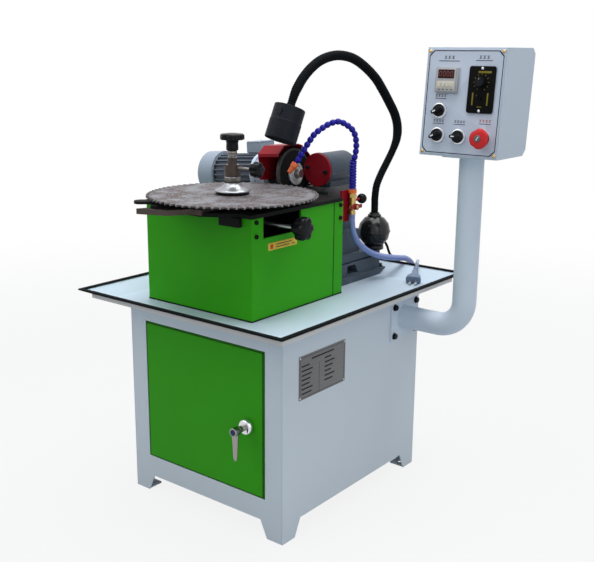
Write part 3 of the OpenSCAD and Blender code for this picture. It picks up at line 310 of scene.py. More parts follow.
@dataclass(frozen=True)
class Paint(Finish):
    """Baked paint on sheet steel: a slow drift of tone, faint dust and an orange-peel skin."""

    rough: float = 0.42
    drift: float = 0.05
    dust: Vec = (0.30, 0.29, 0.26)
    soil: float = 0.16
    peel: float = 0.00012
    gloss: float = 0.4

    def draw(self, shader: Shader) -> None:
        """Tone drifts with broad noise, dust gathers where finer noise peaks, and fine noise is the skin."""
        where = shader.place()
        broad = shader.noise(where, 4.0, 4.0)
        speck = shader.noise(where, 55.0, 6.0, 0.72)
        skin = shader.noise(where, 520.0, 1.0)
        tone = shader.blend(broad, scaled(self.colour, 1 - self.drift), scaled(self.colour, 1 + self.drift))
        mask = shader.ease(speck, 0.60, 0.82) * self.soil
        shader.finish(
            Base_Color=self.inner_colour(shader, where, shader.blend(mask, tone, self.dust)),
            Roughness=broad * 0.12 + mask * 0.4 + (self.rough - 0.06),
            Normal=shader.bump(skin, self.peel),
            Specular_IOR_Level=self.gloss,
        )

    def inner_colour(self, shader: Shader, where: Socket, colour: Socket) -> Socket:
        """The colour on inner faces too."""
        return colour


@dataclass(frozen=True)
class DarkInsidePaint(Paint):
    """Paint on the outside of a box whose inner faces are coloured near-black."""

    low: Vec = (0.0, 0.0, 0.0)
    high: Vec = (0.0, 0.0, 0.0)
    inside: Vec = (0.006, 0.008, 0.006)

    def inner_colour(self, shader: Shader, where: Socket, colour: Socket) -> Socket:
        """Points between the box's low and high corners are inner faces."""
        for axis, low, high in zip("XYZ", self.low, self.high):
            value = shader.part(where, axis)
            held = (value > low) * (value < high)
            mask = held if axis == "X" else mask * held
        return shader.blend(mask, colour, self.inside)


@dataclass(frozen=True)
class CastIron(Finish):
    """Painted casting: sand-cast grain under the paint and rubbed lighter patches."""

    rough: float = 0.5
    grain: float = 0.0006
    rubbed: float = 0.35
    gloss: float = 0.15

    def draw(self, shader: Shader) -> None:
        """Two sizes of noise raise the grain, and slow noise rubs the paint lighter."""
        where = shader.place()
        broad = shader.noise(where, 9.0, 5.0, 0.6)
        sand = shader.noise(where, 260.0, 4.0, 0.6)
        lump = shader.noise(where, 45.0, 2.0)
        worn = shader.ease(broad, 0.52, 0.78) * self.rubbed
        shader.finish(
            Base_Color=shader.blend(worn, shader.blend(lump, scaled(self.colour, 0.82), self.colour),
                                    scaled(self.colour, 1.7)),
            Roughness=sand * 0.25 + (self.rough - 0.12),
            Normal=shader.bump(sand * 0.6 + lump, self.grain),
            Specular_IOR_Level=self.gloss,
        )


@dataclass(frozen=True)
class Metal(Finish):
    """Bare metal: fine streaks along one direction and tarnish in patches."""

    rough: float = 0.25
    streak: Vec = (1.0, 1.0, 30.0)
    tarnish: Vec = (0.25, 0.2, 0.16)
    tarnished: float = 0.2
    metallic: float = 1.0
    groove: float = 0.00004
    vary: float = 0.16

    def draw(self, shader: Shader) -> None:
        """Stretched noise makes the streaks, and cloudy noise the tarnish."""
        line = shader.noise(shader.place(scale=self.streak), 60.0, 3.0, 0.6)
        cloud = shader.noise(shader.place(), 34.0, 6.0, 0.66)
        mask = shader.ease(cloud, 0.5, 0.72) * self.tarnished
        tone = shader.blend(line, scaled(self.colour, 0.88), scaled(self.colour, 1.06))
        shader.finish(
            Base_Color=shader.blend(mask, tone, self.tarnish),
            Metallic=self.metallic,
            Roughness=line * self.vary + mask * 0.5 + (self.rough - self.vary / 2),
            Normal=shader.bump(line, self.groove),
        )


@dataclass(frozen=True)
class BladeSteel(Finish):
    """Old saw steel: rings round the axis, brown stains and lighter rubbed places."""

    centre: Vec = (0.0, 0.0, 0.0)
    stain: Vec = (0.090, 0.068, 0.064)
    rubbed: Vec = (0.36, 0.375, 0.415)
    rim: Pair = (0.163, 0.170)

    def draw(self, shader: Shader) -> None:
        """The distance from the axis drives the rings, and two sizes of cloud the stains and rubbing."""
        where = shader.place(self.centre)
        flat = shader.node("ShaderNodeVectorMath", {"operation": "MULTIPLY"}, {0: where, 1: (1, 1, 0)})
        radius = shader.node("ShaderNodeVectorMath", {"operation": "LENGTH"}, {0: flat}, "Value")
        spread = {"W": radius * 260.0, "Scale": 1.0, "Detail": 4.0}
        ring = shader.node("ShaderNodeTexNoise", {"noise_dimensions": "1D"}, spread)
        cloud = shader.noise(where, 24.0, 7.0, 0.7)
        fleck = shader.noise(where, 160.0, 5.0, 0.7)
        brown = shader.ease(cloud + ring * 0.16 + fleck * 0.30, 0.62, 0.80)
        shine = shader.ease(fleck + cloud * 0.5, 0.76, 0.96) * 0.7
        rim = shader.ease(radius, self.rim[0], self.rim[1]) * 0.55
        tone = shader.blend(rim, shader.blend(brown, self.colour, self.stain), scaled(self.stain, 0.45))
        shader.finish(
            Base_Color=shader.blend(shine, tone, self.rubbed),
            Metallic=0.3,
            Roughness=brown * 0.2 + ring * 0.14 + 0.42,
            Normal=shader.bump(ring * 0.4 + fleck, 0.0001),
            Specular_IOR_Level=0.12,
        )


@dataclass(frozen=True)
class Plastic(Finish):
    """Moulded plastic or rubber: a fine spark-eroded grain and slight wear of the gloss."""

    rough: float = 0.35
    grain: float = 0.00004
    worn: float = 0.12
    gloss: float = 0.4

    def draw(self, shader: Shader) -> None:
        """Fine noise is the grain, and slow noise varies the gloss and the tone."""
        where = shader.place()
        cloud = shader.noise(where, 40.0, 4.0, 0.6)
        fine = shader.noise(where, 1400.0, 2.0)
        light = tuple(c * 1.25 + 0.002 for c in self.colour)
        shader.finish(
            Base_Color=shader.blend(cloud, scaled(self.colour, 0.85), light),
            Roughness=cloud * (2 * self.worn) + (self.rough - self.worn),
            Normal=shader.bump(fine, self.grain),
            Specular_IOR_Level=self.gloss,
        )


@dataclass(frozen=True)
class Abrasive(Finish):
    """Bonded grit: dark grains of many tones that stand a little proud."""

    glint: Vec = (0.2, 0.2, 0.21)

    def draw(self, shader: Shader) -> None:
        """Scattered cells are the grains, and a few of them glint."""
        where = shader.place()
        grain = shader.cells(where, 900.0)
        tone = shader.noise(where, 700.0, 3.0, 0.7)
        shader.finish(
            Base_Color=shader.blend(shader.ease(tone, 0.55, 0.8), self.colour, self.glint),
            Roughness=tone * 0.3 + 0.5,
            Normal=shader.bump(grain, 0.0004),
        )


@dataclass(frozen=True)
class RuledPlate(Finish):
    """A thin metal plate with ruled rows."""

    row: float = 0.0105
    line: float = 0.0006
    ink: Vec = (0.10, 0.10, 0.105)

    def draw(self, shader: Shader) -> None:
        """A row's line is where the height, taken modulo the row, is less than the line's width."""
        where = shader.place()
        high = shader.part(where, "Z")
        brushed = shader.noise(shader.place(scale=(1.0, 1.0, 40.0)), 40.0, 3.0)
        ruled = (high % self.row) < self.line
        tone = shader.blend(brushed, scaled(self.colour, 0.85), scaled(self.colour, 1.15))
        shader.finish(
            Base_Color=shader.blend(ruled, tone, self.ink),
            Metallic=0.35,
            Roughness=brushed * 0.2 + 0.32,
            Normal=shader.bump(brushed, 0.00003),
        )


@dataclass(frozen=True)
class PaleFloor(Finish):
    """A plain pale floor that the camera sees fade to the white surroundings."""

    near: float = 0.86
    fade: Pair = (1.0, 3.2)

    def draw(self, shader: Shader) -> None:
        """For camera and gloss rays, plain white covers a share of the floor that grows with distance."""
        where = shader.place()
        grain = shader.noise(where, 6.0, 2.0)
        shader.finish(
            Base_Color=shader.blend(grain, scaled(self.colour, 0.99), self.colour),
            Roughness=0.9,
            Specular_IOR_Level=0.1,
        )
        away = shader.node("ShaderNodeVectorMath", {"operation": "LENGTH"}, {0: where}, "Value")
        shader.cover((shader.ease(away, *self.fade) * (1 - self.near) + self.near) * shader.looked_at())


@dataclass(frozen=True)
class Glow(Finish):
    """A lit or light-scattering surface: a lens or the strokes of a display."""

    strength: float = 1.0

    def draw(self, shader: Shader) -> None:
        """Fine noise makes the light slightly uneven."""
        cloud = shader.noise(shader.place(), 600.0, 2.0)
        tone = shader.blend(cloud, scaled(self.colour, 0.8), self.colour)
        shader.finish(Base_Color=tone, Emission_Color=tone, Emission_Strength=self.strength, Roughness=0.3)


WHITE = Paint("white_paint", "white_paint", (0.55, 0.66, 0.77), 0.50, 0.03, soil=0.08, gloss=0.25)
CABINET = Paint("cabinet_paint", "white_paint", (0.63, 0.705, 0.77), 0.50, 0.03, soil=0.08, gloss=0.25)
# A lighter, warmer copy of the white paint for the tray's lip under the edging: painted light.
LIT_LIP = Paint("lit_lip_paint", "white_paint", (0.75, 0.745, 0.735), 0.50, 0.03, soil=0.08, gloss=0.2)
BOX = Paint("box_paint", "white_paint", (0.515, 0.59, 0.675), 0.50, 0.03, soil=0.06, gloss=0.25)
PANEL_WHITE = Paint("panel_paint", "white_paint", (0.525, 0.59, 0.70), 0.40, 0.02, soil=0.04, peel=0.00005,
                    gloss=0.15)
GREEN = Paint("green_paint", "green_paint", (0.034, 0.335, 0.006), 0.45, 0.05, soil=0.04, gloss=0.1)
# A darker copy of the green paint for the strips round the door: painted shadow.
SHADOW_GREEN = Paint("door_shadow_green", "green_paint", (0.012, 0.075, 0.004), 0.5, 0.05, soil=0.04, gloss=0.05)
PIPE_WHITE = Paint("pipe_paint", "white_paint", (0.62, 0.705, 0.80), 0.45, 0.03, soil=0.06, gloss=0.25)
DARK_INSIDE_GREEN = DarkInsidePaint("green_dark_inside", "green_paint", GREEN.colour, 0.45, 0.05, soil=0.04, gloss=0.1,
                         low=(-0.1712, -0.2252, 0.40), high=(0.1132, 0.0702, 0.66))
RED = Paint("red_paint", "red_paint", (0.25, 0.005, 0.013), 0.34, 0.08, soil=0.05, gloss=0.14)
BLACKENED = Paint("black_paint", "black_paint", (0.012, 0.012, 0.012), 0.55, 0.2, (0.06, 0.048, 0.04), 0.25,
                  gloss=0.04)
RUBBER = Plastic("black_rubber", "black_rubber", (0.006, 0.007, 0.008), 0.6, 0.0001, gloss=0.02)
BLACK = Plastic("black_plastic", "black_plastic", (0.005, 0.0055, 0.007), 0.26, gloss=0.10)
PLATE_BLACK = Plastic("plate_black", "black_plastic", (0.0045, 0.0045, 0.0045), 0.5, 0.00004, gloss=0.03)
INK = Plastic("panel_ink", "black_plastic", (0.03, 0.03, 0.055), 0.5, 0.00002, gloss=0.1)
MATT_BLACK = Plastic("matt_black_plastic", "black_plastic", (0.0088, 0.0108, 0.0160), 0.48, 0.00006,
                     gloss=0.10)
GREY = Plastic("grey_plastic", "grey_plastic", (0.36, 0.37, 0.38), 0.45)
CREAM = Plastic("cream_plastic", "grey_plastic", (0.55, 0.52, 0.45), 0.45)
CORD = Plastic("cord_sheath", "grey_cord", (0.33, 0.38, 0.45), 0.48, 0.00006)
PLUG = Plastic("plug_plastic", "grey_cord", (0.155, 0.20, 0.285), 0.4, gloss=0.2)
HOSE = Plastic("supply_hose", "lavender_hose", (0.18, 0.24, 0.50), 0.22)
BLUE = Plastic("blue_plastic", "blue_plastic", (0.012, 0.010, 0.27), 0.32, gloss=0.16)
BALL_BLACK = Plastic("ball_black", "black_plastic", (0.0065, 0.0068, 0.0075), 0.16, gloss=0.32)
LOCK_BLUE = Plastic("lock_blue", "black_plastic", (0.008, 0.025, 0.09), 0.3, gloss=0.2)
ORANGE = Plastic("orange_plastic", "orange_plastic", (0.72, 0.14, 0.03), 0.32)
STOP_RED = Plastic("stop_red", "red_plastic", (0.56, 0.018, 0.020), 0.3, gloss=0.2)
YELLOW = Plastic("yellow_label", "black_plastic", (0.62, 0.42, 0.02), 0.4)
MARK_WHITE = Plastic("mark_white", "grey_plastic", (0.75, 0.77, 0.8), 0.4)
MARK_YELLOW = Plastic("mark_yellow", "black_plastic", (0.19, 0.155, 0.018), 0.45, gloss=0.1)
MARK_RED = Plastic("mark_red", "red_plastic", (0.40, 0.03, 0.02), 0.4)
SMOKED = Plastic("smoked_window", "black_plastic", (0.035, 0.008, 0.009), 0.2, 0.00001, gloss=0.1)
STEEL = Metal("bright_steel", "bright_steel", (0.52, 0.53, 0.55), 0.3)
CHROME = Metal("chrome", "chrome", (0.72, 0.73, 0.76), 0.12, tarnished=0.06)
HANDLE = Metal("handle_chrome", "chrome", (0.31, 0.295, 0.28), 0.18, tarnished=0.06, vary=0.06)
BRASS = Metal("brass", "brass", (0.50, 0.34, 0.12), 0.3)
RUST = Metal("rust_steel", "rust_steel", (0.060, 0.046, 0.040), 0.5, (30.0, 1.0, 1.0), (0.075, 0.04, 0.026),
             0.6, 0.6)
ALLOY = Paint("alloy_paint", "motor_grey", (0.29, 0.345, 0.42), 0.4, 0.05, gloss=0.2)
FIN_GREY = CastIron("fin_grey", "motor_grey", (0.125, 0.145, 0.18), 0.45, 0.0003)
SLATE = CastIron("slate_iron", "slate_iron", (0.075, 0.098, 0.125), 0.5)
GEAR_SLATE = CastIron("gear_slate", "slate_iron", (0.064, 0.084, 0.112), 0.42, 0.0002)
GRIT = Abrasive("abrasive", "abrasive", (0.014, 0.014, 0.016))
NAME_PLATE = RuledPlate("name_plate", "bright_steel", (0.145, 0.145, 0.15))
LENS = Glow("lamp_lens", "grey_plastic", (0.75, 0.77, 0.8), 0.15)
DIGITS = Glow("display_digits", "red_plastic", (0.20, 0.03, 0.03), 0.2)
CARBIDE = Metal("carbide", "bright_steel", (0.26, 0.25, 0.245), 0.42, metallic=0.6)
DARK_STEEL = Metal("dark_steel", "bright_steel", (0.085, 0.088, 0.095), 0.4, tarnished=0.3, metallic=0.7)
CONE = Metal("cone_chrome", "chrome", (0.37, 0.385, 0.41), 0.34, tarnished=0.0, groove=0.0, vary=0.04)
KNURL = Metal("knurled_steel", "bright_steel", (0.13, 0.125, 0.12), 0.34)
HUB = Metal("hub_steel", "chrome", (0.50, 0.51, 0.525), 0.4, tarnished=0.1, metallic=0.25, vary=0.06)
WORN_STEEL = Metal("worn_steel", "bright_steel", (0.22, 0.21, 0.20), 0.36, tarnished=0.4)


# Surfaces


@dataclass(frozen=True)
class Seat:
    """A place on the machine: an origin and three square directions."""

    origin: Vec
    across: Vec
    up: Vec
    out: Vec

    @classmethod
    def facing(cls, origin: Vec, out: Vec) -> "Seat":
        """A seat whose third direction is out and whose second one leans to straight up.

        Args:
            origin: The seat's origin.
            out: The direction that becomes the third one.

        Returns:
            The seat.
        """
        normal = np.array(out) / np.linalg.norm(out)
        across = np.cross((0.0, 0.0, 1.0), normal)
        across = across / np.linalg.norm(across)
        return cls(tuple(origin), tuple(across), tuple(np.cross(normal, across)), tuple(normal))

    def put(self, points: np.ndarray) -> np.ndarray:
        """Carry points from the seat's own directions into the machine's frame."""
        return np.array(self.origin) + points @ np.array([self.across, self.up, self.out])

    def moved(self, x: float = 0.0, y: float = 0.0, z: float = 0.0) -> "Seat":
        """The same directions at another origin."""
        return replace(self, origin=tuple(self.put(np.array([x, y, z]))))

    def spun(self, degrees: float) -> "Seat":
        """The same seat turned about its third direction."""
        angle = math.radians(degrees)
        across, up = np.array(self.across), np.array(self.up)
        turned_across = across * math.cos(angle) + up * math.sin(angle)
        return replace(self, across=tuple(turned_across), up=tuple(np.cross(self.out, turned_across)))


LEVEL = Seat((0.0, 0.0, 0.0), (1.0, 0.0, 0.0), (0.0, 1.0, 0.0), (0.0, 0.0, 1.0))
RIGHT: Vec = (1.0, 0.0, 0.0)
FRONT: Vec = (0.0, -1.0, 0.0)
CORNERS = ((-1, -1), (-1, 1), (1, -1), (1, 1))
SHARP_ANGLE = math.radians(34)
FLAT_ANGLE = math.radians(0.5)
MARK_THICK = 0.0003
PRINT_THICK = 0.0002
MARK_EDGE = 0.0001
SINK = 0.0001


@dataclass
class Surface:
    """Points and faces that become one mesh."""

    points: np.ndarray
    faces: list[list[int]]

    def __add__(self, other: "Surface") -> "Surface":
        """Both surfaces as one."""
        shift = len(self.points)
        moved = [[i + shift for i in face] for face in other.faces]
        return Surface(np.concatenate([self.points, other.points]), self.faces + moved)


def joined(parts: list[Surface]) -> Surface:
    """Several surfaces as one."""
    whole = parts[0]
    for part in parts[1:]:
        whole = whole + part
    return whole


def grid(points: np.ndarray, wrap_rows: bool, wrap_columns: bool, caps: bool) -> Surface:
    """Quads over a grid of points.

    Args:
        points: Rows by columns by three.
        wrap_rows: Whether the last row joins the first.
        wrap_columns: Whether the last column joins the first.
        caps: Whether the first and last rows are closed by a face each.

    Returns:
        The surface.
    """
    rows, columns = points.shape[:2]
    i = np.arange(rows if wrap_rows else rows - 1)[:, None]
    j = np.arange(columns if wrap_columns else columns - 1)[None, :]
    near, far = i * columns, (i + 1) % rows * columns
    side = (j + 1) % columns
    quads = np.stack([near + j, near + side, far + side, far + j], axis=-1).reshape(-1, 4).tolist()
    if caps:
        quads.append(list(range(columns))[::-1])
        quads.append(list(range((rows - 1) * columns, rows * columns)))
    return Surface(points.reshape(-1, 3), quads)


def rounded(profile: tuple[Pair, ...], radius: float, steps: int = 4) -> np.ndarray:
    """A polyline whose inner corners are quadratic curves that start radius away along each side.

    Args:
        profile: The polyline's corners.
        radius: How far from a corner its curve starts.
        steps: Points on each curve.

    Returns:
        The rounded polyline.
    """
    corner = np.array(profile, float)
    tip = corner[1:-1]
    back, ahead = corner[:-2] - tip, corner[2:] - tip
    sizes = [np.linalg.norm(side, axis=1, keepdims=True) for side in (back, ahead)]
    start = tip + back * np.minimum(radius / sizes[0], 0.48)
    stop = tip + ahead * np.minimum(radius / sizes[1], 0.48)
    t = np.linspace(0.0, 1.0, steps)[None, :, None]
    curve = (1 - t) ** 2 * start[:, None] + 2 * t * (1 - t) * tip[:, None] + t**2 * stop[:, None]
    return np.concatenate([corner[:1], curve.reshape(-1, 2), corner[-1:]])


def radial(
    radius: np.ndarray, height: np.ndarray, seat: Seat, loop: bool = False, start: float = 0.0
) -> Surface:
    """A surface round the seat's third direction, with a radius for each height and each even angle.

    Args:
        radius: The radius, by height and angle.
        height: The heights.
        seat: The axis.
        loop: Whether the last row joins the first, as on a ring. If not, both ends are closed.
        start: The first column's angle.

    Returns:
        The surface.
    """
    angle = np.arange(radius.shape[1]) * TAU / radius.shape[1] + start
    level = np.broadcast_to(height[:, None], radius.shape)
    rows = np.stack([radius * np.cos(angle), radius * np.sin(angle), level], axis=-1)
    return grid(seat.put(rows), loop, True, not loop)


def turned(profile: np.ndarray, seat: Seat, sides: int = 48, loop: bool = False) -> Surface:
    """A profile of radius and height, turned about the seat's third direction.

    Args:
        profile: Pairs of radius and height, from the bottom up along the outside.
        seat: The axis.
        sides: Points round the axis.
        loop: Whether the profile's ends meet, as on a ring.

    Returns:
        The surface.
    """
    radius, height = np.asarray(profile, float).T
    return radial(np.repeat(radius[:, None], sides, axis=1), height, seat, loop)


def lathe(corners: tuple[Pair, ...], edge: float, seat: Seat, sides: int = 48, loop: bool = False) -> Surface:
    """A profile whose corners are rounded by edge, turned about the seat's third direction."""
    return turned(rounded(corners, edge), seat, sides, loop)


def ring(inner: float, outer: float, low: float, high: float, edge: float, seat: Seat) -> Surface:
    """A ring of rectangular section with rounded corners, turned about the seat's third direction."""
    start = ((inner + outer) / 2, low)
    corners = (start, (outer, low), (outer, high), (inner, high), (inner, low), start)
    return turned(rounded(corners, edge)[:-1], seat, 64, True)


def ball(radius: float, seat: Seat, rows: int = 17) -> Surface:
    """A ball about the seat's origin: a half circle, turned."""
    turn = np.radians(np.linspace(-90, 90, rows))
    return turned(radius * np.stack([np.cos(turn), np.sin(turn)], axis=1), seat, 32)


def threaded(seat: Seat, core: float, rise: float, pitch: float, height: np.ndarray, sides: int) -> Surface:
    """A screw thread: the radius changes by rise and back once a pitch, and a turn moves it on by a pitch."""
    phase = height[:, None] / pitch - np.arange(sides)[None] / sides
    return radial(core + rise * np.abs(2 * (phase % 1.0) - 1), height, seat)


def knurled(
    seat: Seat, radius: float, depth: float, ridges: int, sides: int, profile: tuple[Pair, ...]
) -> Surface:
    """A knurled drum: the radius swings by depth as a cosine once a ridge.

    Args:
        seat: The axis.
        radius: The middle radius.
        depth: How far the ridges rise and fall.
        ridges: How many ridges there are.
        sides: Points round the axis.
        profile: The share of the radius, and the height, from the bottom up.

    Returns:
        The surface.
    """
    share, height = np.array(profile).T
    angle = np.arange(sides) * TAU / sides
    return radial(share[:, None] * (radius + depth * np.cos(ridges * angle)), height, seat)


def rectangle(width: float, height: float, corner: float, steps: int = 6) -> np.ndarray:
    """A rectangle about the origin whose corners are quarter circles, anticlockwise."""
    angle = np.radians(np.arange(4)[:, None] * 90 + np.linspace(0, 90, steps)[None, :])
    signs = np.array([[1, 1], [-1, 1], [-1, -1], [1, -1]])
    centres = signs * (np.array([width, height]) / 2 - corner)
    points = centres[:, None] + corner * np.stack([np.cos(angle), np.sin(angle)], axis=-1)
    return points.reshape(-1, 2)


def circle(radius: float, sides: int) -> np.ndarray:
    """Points round a circle, anticlockwise."""
    angle = np.arange(sides) * TAU / sides
    return radius * np.stack([np.cos(angle), np.sin(angle)], axis=1)


def stacked(outlines: np.ndarray, height: np.ndarray, seat: Seat) -> Surface:
    """Outlines of as many points, each at its height, joined by walls and closed at both ends."""
    level = np.broadcast_to(height[:, None, None], (*outlines.shape[:2], 1))
    return grid(seat.put(np.concatenate([outlines, level], axis=-1)), False, True, True)


def slab(outline: np.ndarray, thick: float, edge: float, seat: Seat, dome: float = 0.0) -> Surface:
    """A plate on an outline: walls, a quarter-round upper edge, and a top that may rise as a parabola.

    Args:
        outline: The plate's outline, anticlockwise in the seat's first two directions.
        thick: Its height along the third direction.
        edge: The radius of the upper edge.
        seat: Where it stands.
        dome: How far the middle of the top rises.

    Returns:
        The surface.
    """
    tangent = np.roll(outline, -1, axis=0) - np.roll(outline, 1, axis=0)
    normal = np.stack([tangent[:, 1], -tangent[:, 0]], axis=1)
    normal = normal / np.linalg.norm(normal, axis=1, keepdims=True)
    turn = np.radians(np.linspace(0.0, 90.0, 5))
    inset = np.concatenate([[0.0], edge * (1 - np.cos(turn))])
    height = np.concatenate([[0.0], thick - edge + edge * np.sin(turn)])
    flat = outline[None] - inset[:, None, None] * normal[None]
    if dome > 0:
        share = np.linspace(0.85, 0.0, 7)
        flat = np.concatenate([flat, flat[-1][None] * share[:, None, None]])
        height = np.concatenate([height, thick + dome * (1 - share**2)])
    return stacked(flat, height, seat)


def tile(width: float, height: float, corner: float, thick: float, edge: float, seat: Seat) -> Surface:
    """A plate on a rectangle with round corners."""
    return slab(rectangle(width, height, corner), thick, edge, seat)


def tiles(
    seat: Seat, rows: Sequence[tuple[float, ...]], corner: float,
    thick: float = MARK_THICK, edge: float = MARK_EDGE,
) -> Surface:
    """Several plates on one face.

    Args:
        seat: The face.
        rows: Each plate's middle across and up, its width and its height.
        corner: The radius of their corners.
        thick: How thick they are.
        edge: The radius of their upper edges.

    Returns:
        The plates as one surface.
    """
    return joined([tile(w, h, corner, thick, edge, seat.moved(x, y)) for x, y, w, h in rows])


def hoop(outer: np.ndarray, inner: np.ndarray, thick: float, seat: Seat) -> Surface:
    """A band between two outlines of as many points, raised from the seat by its thickness."""
    loops = ((outer, 0.0), (outer, thick), (inner, thick), (inner, 0.0))
    rows = np.stack([np.concatenate([line, np.full((len(line), 1), high)], axis=1) for line, high in loops])
    return grid(seat.put(rows), True, True, False)


def heads(profile: np.ndarray, seats: list[Seat], sides: int) -> Surface:
    """The same turned head on each of several seats."""
    return joined([turned(profile, seat, sides) for seat in seats])


def star(seat: Seat, radius: float, tall: float, lobes: int, depth: float = 0.16) -> Surface:
    """A star grip: between lobes the radius falls as a power of a cosine, and the top is slightly domed.

    Args:
        seat: Where it stands.
        radius: Its largest radius.
        tall: Its height.
        lobes: How many lobes it has.
        depth: How far the radius falls between lobes, as a share of it.

    Returns:
        The surface.
    """
    outline = circle(1.0, 144)
    dip = (0.5 - 0.5 * np.cos(lobes * np.arange(144) * TAU / 144)) ** 2
    edge = min(tall * 0.42, radius * 0.3)
    return slab(radius * (1 - depth * dip)[:, None] * outline, tall, edge, seat, radius * 0.04)


def smooth(route: np.ndarray, steps: int) -> np.ndarray:
    """A curve through a route's points: on each stretch a cubic whose slopes come from the points around it.

    Args:
        route: The points, in order.
        steps: Points on each stretch.

    Returns:
        The curve's points.
    """
    p = np.concatenate([route[:1], route, route[-1:]])
    a, b, c, d = p[:-3, None], p[1:-2, None], p[2:-1, None], p[3:, None]
    s = (np.arange(steps) / steps)[None, :, None]
    cubic = 2 * b + (c - a) * s + (2 * a - 5 * b + 4 * c - d) * s**2 + (3 * b - a - 3 * c + d) * s**3
    return np.concatenate([0.5 * cubic.reshape(-1, 3), route[-1:]])


def evenly(path: np.ndarray, count: int) -> tuple[np.ndarray, float]:
    """Points at even distances along a path.

    Args:
        path: The path's points.
        count: How many points are wanted.

    Returns:
        The points, and the path's length.
    """
    gone = np.concatenate([[0.0], np.cumsum(np.linalg.norm(np.diff(path, axis=0), axis=1))])
    wanted = np.linspace(0.0, gone[-1], count)
    return np.stack([np.interp(wanted, gone, path[:, k]) for k in range(3)], axis=1), float(gone[-1])


def swept(path: np.ndarray, radii: np.ndarray, sides: int, level: Vec) -> Surface:
    """A round section carried along a path that lies about square to one direction.

    Args:
        path: The points that the section follows.
        radii: The section's radius at each point.
        sides: Points round the section.
        level: The direction that the path is about square to.

    Returns:
        The surface.
    """
    tangent = np.gradient(path, axis=0)
    tangent = tangent / np.linalg.norm(tangent, axis=1, keepdims=True)
    first = np.cross(tangent, np.array(level))
    first = first / np.linalg.norm(first, axis=1, keepdims=True)
    second = np.cross(tangent, first)
    angle = np.arange(sides) * TAU / sides
    cos, sin = np.cos(angle)[None, :, None], np.sin(angle)[None, :, None]
    ring_points = cos * first[:, None] + sin * second[:, None]
    return grid(path[:, None] + radii[:, None, None] * ring_points, False, True, True)


# Pieces


def bare_object(name: str, surface: Surface) -> bpy.types.Object:
    """A mesh object with its doubles merged, its faces outward and its soft edges smooth.

    Args:
        name: The object's name.
        surface: Its points and faces.

    Returns:
        The object, at the origin.
    """
    mesh = bpy.data.meshes.new(name)
    mesh.from_pydata(surface.points.tolist(), [], surface.faces)
    tidy_mesh(mesh, 1e-7, True)
    made = bpy.data.objects.new(name, mesh)
    bpy.context.collection.objects.link(made)
    return made


def tidy_mesh(mesh: bpy.types.Mesh, near: float, turn_out: bool) -> None:
    """Merge doubles, turn faces outward or dissolve flat triangles, and smooth the soft edges.

    Args:
        mesh: The mesh to tidy.
        near: How near two points are merged.
        turn_out: Whether the faces are turned outward, or else flat ones dissolved.
    """
    work = bmesh.new()
    work.from_mesh(mesh)
    bmesh.ops.remove_doubles(work, verts=work.verts, dist=near)
    if turn_out:
        bmesh.ops.recalc_face_normals(work, faces=work.faces)
    else:
        bmesh.ops.dissolve_limit(work, angle_limit=FLAT_ANGLE, verts=work.verts, edges=work.edges)
    work.to_mesh(mesh)
    work.free()
    mesh.polygons.foreach_set("use_smooth", np.ones(len(mesh.polygons), bool))
    mesh.set_sharp_from_angle(angle=SHARP_ANGLE)


class Assembly:
    """A group of the machine's pieces, with the ways to add and dress one."""

    def build(self) -> None:
        """Make and dress all the pieces."""
        raise NotImplementedError

    def dress(self, made: bpy.types.Object, finish: Finish, body: str, nodes: tuple[str, ...]) -> None:
        """Give a piece its finish, its body and the nodes that it stands for.

        Args:
            made: The piece.
            finish: Its finish.
            body: The body that it rides on.
            nodes: The nodes that it replaces.
        """
        made.data.materials.clear()
        made.data.materials.append(finish.material())
        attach(made, body)
        if nodes:
            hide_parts(*nodes)
        LOG.info("%s rides on %s with %s", made.name, body, finish.label)

    def add(self, name: str, surface: Surface, finish: Finish, body: str, *nodes: str) -> bpy.types.Object:
        """Make a new piece from a surface.

        Args:
            name: The piece's name.
            surface: Its shape.
            finish: Its finish.
            body: The body that it rides on.
            nodes: The nodes that it replaces.

        Returns:
            The piece.
        """
        made = bare_object(name, surface)
        self.dress(made, finish, body, nodes)
        return made

    def soften(self, node: str, finish: Finish, edge: float) -> None:
        """Replace a node by a copy of it with merged faces and small rounded edges.

        Args:
            node: The node that is copied.
            finish: The copy's finish.
            edge: The width of its rounded edges, or nought for none.
        """
        source = frame["nodes"][node]
        mesh = source.data.copy()
        tidy_mesh(mesh, 2e-6, False)
        made = bpy.data.objects.new(f"{node}.skin", mesh)
        bpy.context.collection.objects.link(made)
        if edge > 0:
            bevel = made.modifiers.new("edges", "BEVEL")
            bevel.width = edge
            bevel.segments = 2
            bevel.limit_method = "ANGLE"
            bevel.angle_limit = SHARP_ANGLE
            bevel.harden_normals = True
        self.dress(made, finish, body_of(source)[0], (node,))

    def soften_each(self, *rows: tuple[str, Finish, float]) -> None:
        """Replace several nodes, each given with its finish and the width of its edges."""
        for node, finish, edge in rows:
            self.soften(node, finish, edge)


def middle(node: str) -> Vec:
    """The middle of a node's box."""
    low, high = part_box(node)
    return tuple((np.array(low) + np.array(high)) / 2)


# Cords


